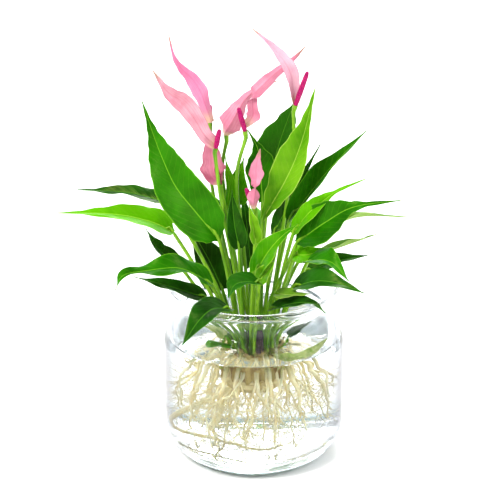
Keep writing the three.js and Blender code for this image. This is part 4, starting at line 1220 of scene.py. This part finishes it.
placedRoots = (
    # the long roots that show at the front, each by its points and the radius it starts with
    ((-12, -21, 90), (-17, -26, 88), (-20, -31, 78), (-24, -32, 62), (-24, -29, 44), 1.9),
    ((-6, -23, 91), (-9, -29, 88), (-12, -32, 76), (-11, -31, 60), (-13, -29, 42), 1.8),
    ((2, -24, 91), (2, -30, 87), (3, -33, 74), (8, -34, 60), (14, -32, 44), 1.8),
    ((14, -20, 91), (19, -24, 89), (26, -25, 78), (31, -22, 60), (30, -20, 40), 2.0),
    ((8, -23, 90), (10, -30, 86), (13, -33, 68), (17, -35, 46), (14, -35, 24), 1.6),
    ((-18, -12, 80), (-26, -12, 86), (-36, -11, 85), (-44, -9, 76), (-48, -8, 62), (-47, -8, 50), 1.6),
    ((-18, -15, 84), (-25, -15, 84), (-33, -13, 74), (-38, -12, 58), (-42, -13, 40), 1.8),
    ((-13, -14, 67), (-22, -20, 52), (-25, -25, 40), (-27, -26, 26), (-28, -25, 15), 1.4),
    ((17, -12, 82), (26, -10, 87), (37, -9, 85), (45, -8, 76), (49, -8, 64), (50, -9, 50), 1.7),
    ((16, -4, 78), (29, 3, 76), (39, 8, 62), (44, 6, 44), (46, 2, 28), 1.6),
    ((-12, -6, 66), (-24, 2, 50), (-38, 10, 34), (-48, 12, 20), (-50, 4, 14.5), (-40, -2, 14), (-26, -6, 14),
     (-12, -18, 14), (2, -29, 14), (12, -28, 14), (18, -20, 14), 2.1),
)
rootletLines = (
    # side roots as lines that grow up from the origin, some of them with branches
    (((0, 0, 0), (0.6, 0.2, 3), (0.4, 0.9, 6), (1.2, 1.0, 9), (1.0, 2.2, 12)),
     ((0.5, 0.6, 4.6), (2.2, 1.0, 6.2), (3.6, 0.6, 8.6))),
    (((0, 0, 0), (-0.7, 0.4, 2.6), (-0.5, 1.6, 5), (-1.8, 2.2, 7.4), (-2.0, 3.8, 9.6)),),
    (((0, 0, 0), (0.3, -0.8, 3.4), (1.4, -1.0, 6.6), (1.6, -2.4, 10), (3.0, -2.8, 13), (3.4, -4.4, 16)),
     ((0.8, -0.9, 5), (-0.8, -1.8, 7), (-1.4, -3.4, 8.2)),
     ((1.6, -2.4, 10), (3.6, -1.6, 11.4), (5.2, -1.8, 13.6))),
    (((0, 0, 0), (0.8, 0.8, 2), (0.6, 2.2, 3.4), (1.6, 3.0, 5.2)),),
    (((0, 0, 0), (0.2, 0.9, 3), (-0.9, 1.4, 6), (-0.7, 2.6, 9), (-2.0, 2.8, 11.6)),
     ((-0.9, 1.4, 6), (-2.8, 0.6, 7.2), (-4.2, 0.9, 9.4))),
)


def rootletShapes():
    # the lines as curve objects for the node tree to pick from, thinner towards their ends
    collection = bpy.data.collections.new("rootletShapes")
    for i, lines in enumerate(rootletLines):
        paths = []
        for j, line in enumerate(lines):
            thick = 1.0 if j == 0 else 0.7
            steps = len(line) - 1
            paths.append([(Vector(point) * mm, thick * (1 - 0.5 * k / steps))
                          for k, point in enumerate(line)])
        shape = pathObject("rootlet" + str(i), paths)
        scene.collection.objects.unlink(shape)
        collection.objects.link(shape)
    return collection


def wobbled(tree, curves, scale, amount, hold):
    # pushes the points about, less near the start
    place = put(tree, "GeometryNodeInputPosition").outputs[0]
    cloud = put(tree, "ShaderNodeTexNoise", {"Vector": place, "Scale": scale, "Detail": 1.0})
    push = vectors(tree, "SUBTRACT", cloud.outputs["Color"], (0.5, 0.5, 0.5))
    factor = put(tree, "GeometryNodeSplineParameter").outputs["Factor"]
    grown = reckon(tree, "MINIMUM", reckon(tree, "MULTIPLY", factor, hold), 2.0)
    push = vectors(tree, "SCALE", push, scale=reckon(tree, "MULTIPLY", grown, amount))
    return put(tree, "GeometryNodeSetPosition", {"Geometry": curves, "Offset": push}).outputs["Geometry"]


def keptInside(tree, curves, given, thick):
    # keeps the points inside the jar's wall and above its floor
    place = put(tree, "GeometryNodeInputPosition").outputs[0]
    height = put(tree, "ShaderNodeSeparateXYZ", {"Vector": place}).outputs["Z"]
    height = reckon(tree, "MAXIMUM", height, reckon(tree, "ADD", given["Floor"], thick))
    level = vectors(tree, "MULTIPLY", place, (1.0, 1.0, 0.0))
    share = reckon(tree, "DIVIDE", given["Wall"], reckon(tree, "MAXIMUM", distance(tree, level), 1e-5))
    level = vectors(tree, "SCALE", level, scale=reckon(tree, "MINIMUM", share, 1.0))
    parts = put(tree, "ShaderNodeSeparateXYZ", {"Vector": level}).outputs
    spot = put(tree, "ShaderNodeCombineXYZ", {"X": parts["X"], "Y": parts["Y"], "Z": height}).outputs[0]
    return put(tree, "GeometryNodeSetPosition", {"Geometry": curves, "Position": spot}).outputs["Geometry"]


def sideRoots(tree, mains, given):
    # rootlets stand out from the main roots every which way under the crown, drooping a little
    spots = put(tree, "GeometryNodeCurveToPoints", {
        "Curve": mains, "Length": given["Spacing"]}, mode="LENGTH").outputs
    place = put(tree, "GeometryNodeInputPosition").outputs[0]
    height = put(tree, "ShaderNodeSeparateXYZ", {"Vector": place}).outputs["Z"]
    some = put(tree, "FunctionNodeRandomValue", {
        6: given["Share"], "Seed": 3}, data_type="BOOLEAN").outputs[3]
    chosen = put(tree, "FunctionNodeBooleanMath", {
        0: some, 1: reckon(tree, "LESS_THAN", height, rootletForm["below"] * mm)},
        operation="AND").outputs[0]
    spin = put(tree, "FunctionNodeRandomValue", {
        0: (-1, -1, -1), 1: (1, 1, 1), "Seed": 8}, data_type="FLOAT_VECTOR").outputs[0]
    way = vectors(tree, "NORMALIZE", vectors(tree, "CROSS_PRODUCT", spots["Tangent"], spin))
    way = vectors(tree, "ADD", way, vectors(tree, "SCALE", spots["Tangent"], scale=rootletForm["lean"]))
    way = vectors(tree, "ADD", way, rootletForm["droop"])
    turned = put(tree, "FunctionNodeAlignRotationToVector", {"Vector": way}, axis="Z").outputs[0]
    roll = put(tree, "FunctionNodeAxisAngleToRotation", {
        "Axis": (0, 0, 1), "Angle": randomNumber(tree, 0.0, 6.283, 21)}).outputs[0]
    turned = put(tree, "FunctionNodeRotateRotation", {
        "Rotation": turned, "Rotate By": roll}, rotation_space="LOCAL").outputs[0]
    last = len(rootletLines) - 1
    pick = put(tree, "FunctionNodeRandomValue", {4: 0, 5: last, "Seed": 34}, data_type="INT").outputs[2]
    shapes = put(tree, "GeometryNodeCollectionInfo", {
        "Collection": given["Rootlets"], "Separate Children": True, "Reset Children": True})
    placed = put(tree, "GeometryNodeInstanceOnPoints", {
        "Points": spots["Points"], "Selection": chosen, "Instance": shapes.outputs["Instances"],
        "Pick Instance": True, "Instance Index": pick, "Rotation": turned,
        "Scale": randomNumber(tree, *rootletForm["sizes"], 13)})
    loose = put(tree, "GeometryNodeRealizeInstances", {"Geometry": placed.outputs["Instances"]})
    twigs = wobbled(tree, loose.outputs["Geometry"], 230.0, given["Rootlet Wobble"], 2.5)
    radius = put(tree, "GeometryNodeInputRadius").outputs["Radius"]
    thick = reckon(tree, "MULTIPLY", radius, given["Rootlet Radius"])
    return tubeAlong(tree, keptInside(tree, twigs, given, given["Rootlet Radius"]), 3, thick)


def rootTree():
    # knotty tubes along the wobbled paths, with rootlets on them
    tree, given, out = nodeTree("rootGrowth", [
        ("Step", "Float"), ("Wobble", "Float"), ("Sides", "Int"), ("Floor", "Float"), ("Wall", "Float"),
        ("Rootlets", "Collection"), ("Spacing", "Float"), ("Share", "Float"), ("Rootlet Radius", "Float"),
        ("Rootlet Wobble", "Float"), ("Material", "Material")])
    fine = put(tree, "GeometryNodeResampleCurve", {
        "Curve": given["Geometry"], "Length": given["Step"]}, mode="LENGTH")
    radius = put(tree, "GeometryNodeInputRadius").outputs["Radius"]
    mains = wobbled(tree, fine.outputs["Curve"], 75.0, given["Wobble"], 4.0)
    mains = keptInside(tree, mains, given, radius)
    knots = put(tree, "ShaderNodeTexNoise", {"Scale": 420.0, "Detail": 1.0}).outputs["Fac"]
    knots = reckon(tree, "ADD", reckon(tree, "MULTIPLY", knots, 0.5), 0.75)
    tubes = tubeAlong(tree, mains, given["Sides"], reckon(tree, "MULTIPLY", radius, knots))
    finishTree(tree, joined(tree, tubes, sideRoots(tree, mains, given)), given, out)
    return tree


def rootMaterial():
    material, tree, shader = newMaterial(
        "rootSkin", Roughness=0.6, Subsurface_Weight=0.15, Subsurface_Radius=(1.0, 0.8, 0.5),
        Subsurface_Scale=0.001)
    patches = band(tree, grain(tree, 130, 3.0), 0.35, 0.7)
    skin = blended(tree, patches, colour(255, 249, 210), colour(246, 228, 168))
    stains = band(tree, grain(tree, 60, 3.0), 0.6, 0.75, 0.0, 0.5)
    skin = blended(tree, stains, skin, colour(204, 166, 98))
    skin = blended(tree, heightBand(tree, 0.076, 0.087, 0.0, 0.85), skin, colour(132, 132, 56))
    paint(tree, shader, skin, grain(tree, 900, 2.0), 0.3, 0.0002)
    return material


def deepRoot(number, chance):
    # every third one is near
    form = deepRoots
    kind = form["near" if number % 3 == 0 else "far"]
    angle = number * goldenAngle + chance.uniform(-0.2, 0.2)
    reach = chance.uniform(*kind["reach"])
    depth = chance.uniform(*form["depth"])
    drift = chance.uniform(-form["drift"], form["drift"])
    start = form["start"] * chance.uniform(*kind["start"])
    first, second = kind["heights"]
    line = []
    for share, height in ((0, first), (0.4, second), (0.8, (form["middle"] + depth) / 2), (1, depth)):
        spot = aroundCrown(start + (reach - start) * share, angle + drift * share, height)
        line.append(spot - Vector((0, crown["y"] * share * 0.5, 0)))
    return line, chance.uniform(*form["thick"])


def collarRoot(number, chance):
    form = collarRoots
    angle = (number + chance.uniform(-0.4, 0.4)) / form["count"] * math.tau
    high, low = chance.uniform(*form["high"]), chance.uniform(*form["low"])
    out = chance.uniform(*form["out"])
    lean = chance.uniform(-form["lean"], form["lean"])
    rows = ((form["start"], high), (form["bend"], high - 1), ((form["edge"] + out) / 2, high - 13),
            (out - 1, (high + low) / 2 - 4), (out, low))
    line = []
    for radius, height in rows:
        turn = (radius - 19) * (lean + chance.uniform(-form["sway"], form["sway"]))
        line.append(aroundCrown(radius, angle + turn, height))
    return line, chance.uniform(*form["thick"])


def rootPath(line, thick):
    # from the given radius down to a thin tip
    parts = rootForm["parts"]
    end = rootForm["tip"] + 0.25 * (thick - rootForm["tip"])
    spots = evenPoints(line, parts)[0]
    return [(spot * mm, (thick + (end - thick) * (i / parts) ** 1.3) * mm) for i, spot in enumerate(spots)]


def addRoots():
    form, side = rootForm, rootletForm
    chance = random.Random(29)
    lines = [([Vector(point) for point in row[:-1]], row[-1]) for row in placedRoots]
    lines += [deepRoot(i, chance) for i in range(deepRoots["count"])]
    lines += [collarRoot(i, chance) for i in range(collarRoots["count"])]
    holder = pathObject("roots", [rootPath(*line) for line in lines])
    shapes = rootletShapes()
    addNodes(holder, rootTree(), {
        "Step": form["step"] * mm, "Wobble": form["wobble"] * mm, "Sides": form["sides"],
        "Floor": form["floor"] * mm, "Wall": form["wall"] * mm, "Rootlets": shapes,
        "Spacing": side["spacing"] * mm, "Share": side["share"],
        "Rootlet Radius": side["radius"] * mm, "Rootlet Wobble": side["wobble"] * mm,
        "Material": rootMaterial()})
    piece = meshPiece("rootTangle", plainMesh(holder))
    for shape in list(shapes.objects):
        bpy.data.objects.remove(shape)
    bpy.data.collections.remove(shapes)
    print("root faces:", len(piece.data.polygons))
    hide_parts("roots")
    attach(piece, "root")


addRoots()
print("roots are grown")


# ---- vase and water ----
jar = {
    "steps": 144, "ior": 1.5, "rimTop": 149.9,
    # radius and height, up the outside, over the rim and down the inside
    "outline": (
        (0, 1.6), (40, 1.5), (48, 1.0), (52, 0.1), (56, 0.1), (62.5, 2.4), (69.6, 8.8), (74, 18), (75, 28),
        (75, 98), (73.2, 105), (69.8, 113), (65.5, 119), (61, 122.6), (58.6, 127.6), (60, 133), (64, 138.4),
        (68.4, 142.4), (70.4, 145.2), (70.2, 147.8), (68.6, 149.6), (66.8, 150), (65.2, 149), (63.4, 145.6),
        (60.4, 140.4), (57.7, 134.6), (56.4, 127.5), (58.8, 121.6), (64, 117.4), (68.1, 112), (71.1, 104.6),
        (72.7, 97.6), (72.7, 30), (71, 21), (66.8, 15.6), (60, 13.4), (0, 12.8)),
}
water = {
    "level": 105, "ior": 1.333, "gap": 0.05, "floorRadius": 62,
    # its top's edge is drawn up at the glass: how far in, and how high over the level
    "edge": ((0, 1.1), (0.7, 0.55), (1.6, 0.2), (3, 0.04), (5, 0)),
}


def finerOutline(outline, most=3.0, straight=25):
    # rounds a lathe outline's corners with a curve, but keeps runs longer than straight as they are
    spots = [Vector((radius, height)) for radius, height in outline]
    fine = [spots[0]]
    for i in range(len(spots) - 1):
        b, c = spots[i], spots[i + 1]
        a = spots[i - 1] if i > 0 else b * 2 - c
        d = spots[i + 2] if i + 2 < len(spots) else c * 2 - b
        run = (c - b).length
        wayIn, wayOut = (c - a).normalized(), (d - b).normalized()
        parts = max(2, math.ceil(run / most))
        if run > straight:
            wayIn = wayOut = (c - b).normalized()
            parts = 6
        elif (b - a).length > straight:
            wayIn = (b - a).normalized()
        if (d - c).length > straight and run <= straight:
            wayOut = (d - c).normalized()
        for j in range(1, parts + 1):
            w = j / parts
            h1, h2 = 2 * w ** 3 - 3 * w ** 2 + 1, w ** 3 - 2 * w ** 2 + w
            h3, h4 = 3 * w ** 2 - 2 * w ** 3, w ** 3 - w ** 2
            spot = b * h1 + wayIn * run * h2 + c * h3 + wayOut * run * h4
            fine.append(Vector((spot.x, max(spot.y, 0))))
    return fine


def turnedPart(outline, steps, rowSlots):
    # turns an outline that runs counter-clockwise from the axis to the axis, seen with radius to the right;
    # rowSlots gives the material of each row of faces
    points, faces, slots = [], [], []
    ringStart = []
    for spot in outline:
        ringStart.append(len(points))
        if spot.x < 1e-6:
            points.append((0, 0, spot.y * mm))
        else:
            for i in range(steps):
                angle = i / steps * math.tau
                points.append((spot.x * math.cos(angle) * mm, spot.x * math.sin(angle) * mm, spot.y * mm))
    for row, slot in enumerate(rowSlots):
        a, b = ringStart[row], ringStart[row + 1]
        for i in range(steps):
            j = (i + 1) % steps
            if outline[row].x < 1e-6:
                faces.append((a, b + j, b + i))
            elif outline[row + 1].x < 1e-6:
                faces.append((a + i, a + j, b))
            else:
                faces.append((a + i, a + j, b + j, b + i))
        slots += [slot] * steps
    return {"points": points, "faces": faces, "material": slots}


glassColours = {
    "clear": colour(252, 254, 255), "gloss": colour(160, 160, 162),
    # the outer wall's painted edge shade, the thick base, and its outer ring
    "edge": colour(84, 80, 84), "base": colour(224, 241, 252), "foot": colour(76, 106, 108),
}


def thickTints(tree, shade):
    # painted shade: the outer wall goes grey where it is seen on the slant, from a little above the base to
    # under the shoulder; a little blue in the base, green-blue at its ring
    facing = put(tree, "ShaderNodeLayerWeight", {"Blend": 0.5}).outputs["Facing"]
    edge = reckon(tree, "MULTIPLY", band(tree, facing, 0.3, 0.84), heightBand(tree, 0.014, 0.03))
    edge = reckon(tree, "MULTIPLY", edge, heightBand(tree, 0.1, 0.12, 1.0, 0.0))
    shade = blended(tree, edge, shade, glassColours["edge"])
    shade = blended(tree, heightBand(tree, 0.008, 0.016, 1.0, 0.0), shade, glassColours["base"])
    reach = distance(tree, put(tree, "ShaderNodeTexCoord").outputs["Object"])
    foot = reckon(tree, "MULTIPLY", heightBand(tree, 0.002, 0.007, 1.0, 0.0), band(tree, reach, 0.053, 0.06))
    return blended(tree, foot, shade, glassColours["foot"])


def glassMaterial(name, ior, tint, thick=False):
    material, tree, shader = newMaterial(
        name, Roughness=0.0, IOR=ior, Transmission_Weight=1.0, Specular_Tint=glassColours["gloss"])
    dimmed = tuple(part * 0.985 for part in tint[:3]) + (1.0,)
    shade = blended(tree, grain(tree, 12, 1.0), tint, dimmed)
    # the outer glass gets the painted edge shade as well as the base tints
    if thick:
        shade = thickTints(tree, shade)
    tree.links.new(shade, shader.inputs["Base Color"])
    return material


# glass and water meet as one surface, which bends light by the ratio of the two
jarDry = glassMaterial("jarGlass", jar["ior"], glassColours["clear"], True)
jarWet = glassMaterial("jarGlassWet", jar["ior"] / water["ior"], glassColours["clear"])
waterTop = glassMaterial("waterSurface", water["ior"], colour(252, 254, 254))
waterSide = glassMaterial("waterBody", 1.0, colour(255, 255, 255))


def jarOutline():
    # the finer outline with a ring at the water's level, so the wet glass ends there,
    # and the number of the point where the inside starts
    outline = finerOutline(jar["outline"])
    inner = next(i for i, spot in enumerate(outline) if spot.y > jar["rimTop"])
    level = water["level"]
    for i in range(inner, len(outline) - 1):
        if outline[i].y > level > outline[i + 1].y:
            share = (outline[i].y - level) / (outline[i].y - outline[i + 1].y)
            outline.insert(i + 1, outline[i].lerp(outline[i + 1], share))
            break
    return outline, inner


def addVase(outline, inner):
    heights = [(here.y + there.y) / 2 for here, there in zip(outline, outline[1:])]
    wet = [int(row >= inner and height < water["level"]) for row, height in enumerate(heights)]
    vase = partsPiece("jarVase", [turnedPart(outline, jar["steps"], wet)], [jarDry, jarWet])
    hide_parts("vase")
    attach(vase, "root")


def addWater(inside):
    # fills the inside up to its level, a hair's breadth off the glass
    level, gap = water["level"], water["gap"]
    wall = [Vector((max(spot.x - gap, 0), spot.y + (gap if spot.x < water["floorRadius"] else 0)))
            for spot in inside if spot.y <= level + 1e-6]
    top = [Vector((wall[0].x - far, level + rise)) for far, rise in water["edge"]] + [Vector((0, level))]
    outline = [Vector((0, wall[-1].y))] + list(reversed(wall[:-1])) + top
    atGlass = [1] * len(wall) + [0] * (len(top) - 1)
    body = partsPiece("waterFill", [turnedPart(outline, jar["steps"], atGlass)], [waterTop, waterSide])
    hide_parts("water")
    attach(body, "root")


jarLine, insideStart = jarOutline()
addVase(jarLine, insideStart)
addWater(jarLine[insideStart:])
print("the vase is filled")


# ---- finish ----
print("all pieces are in place")
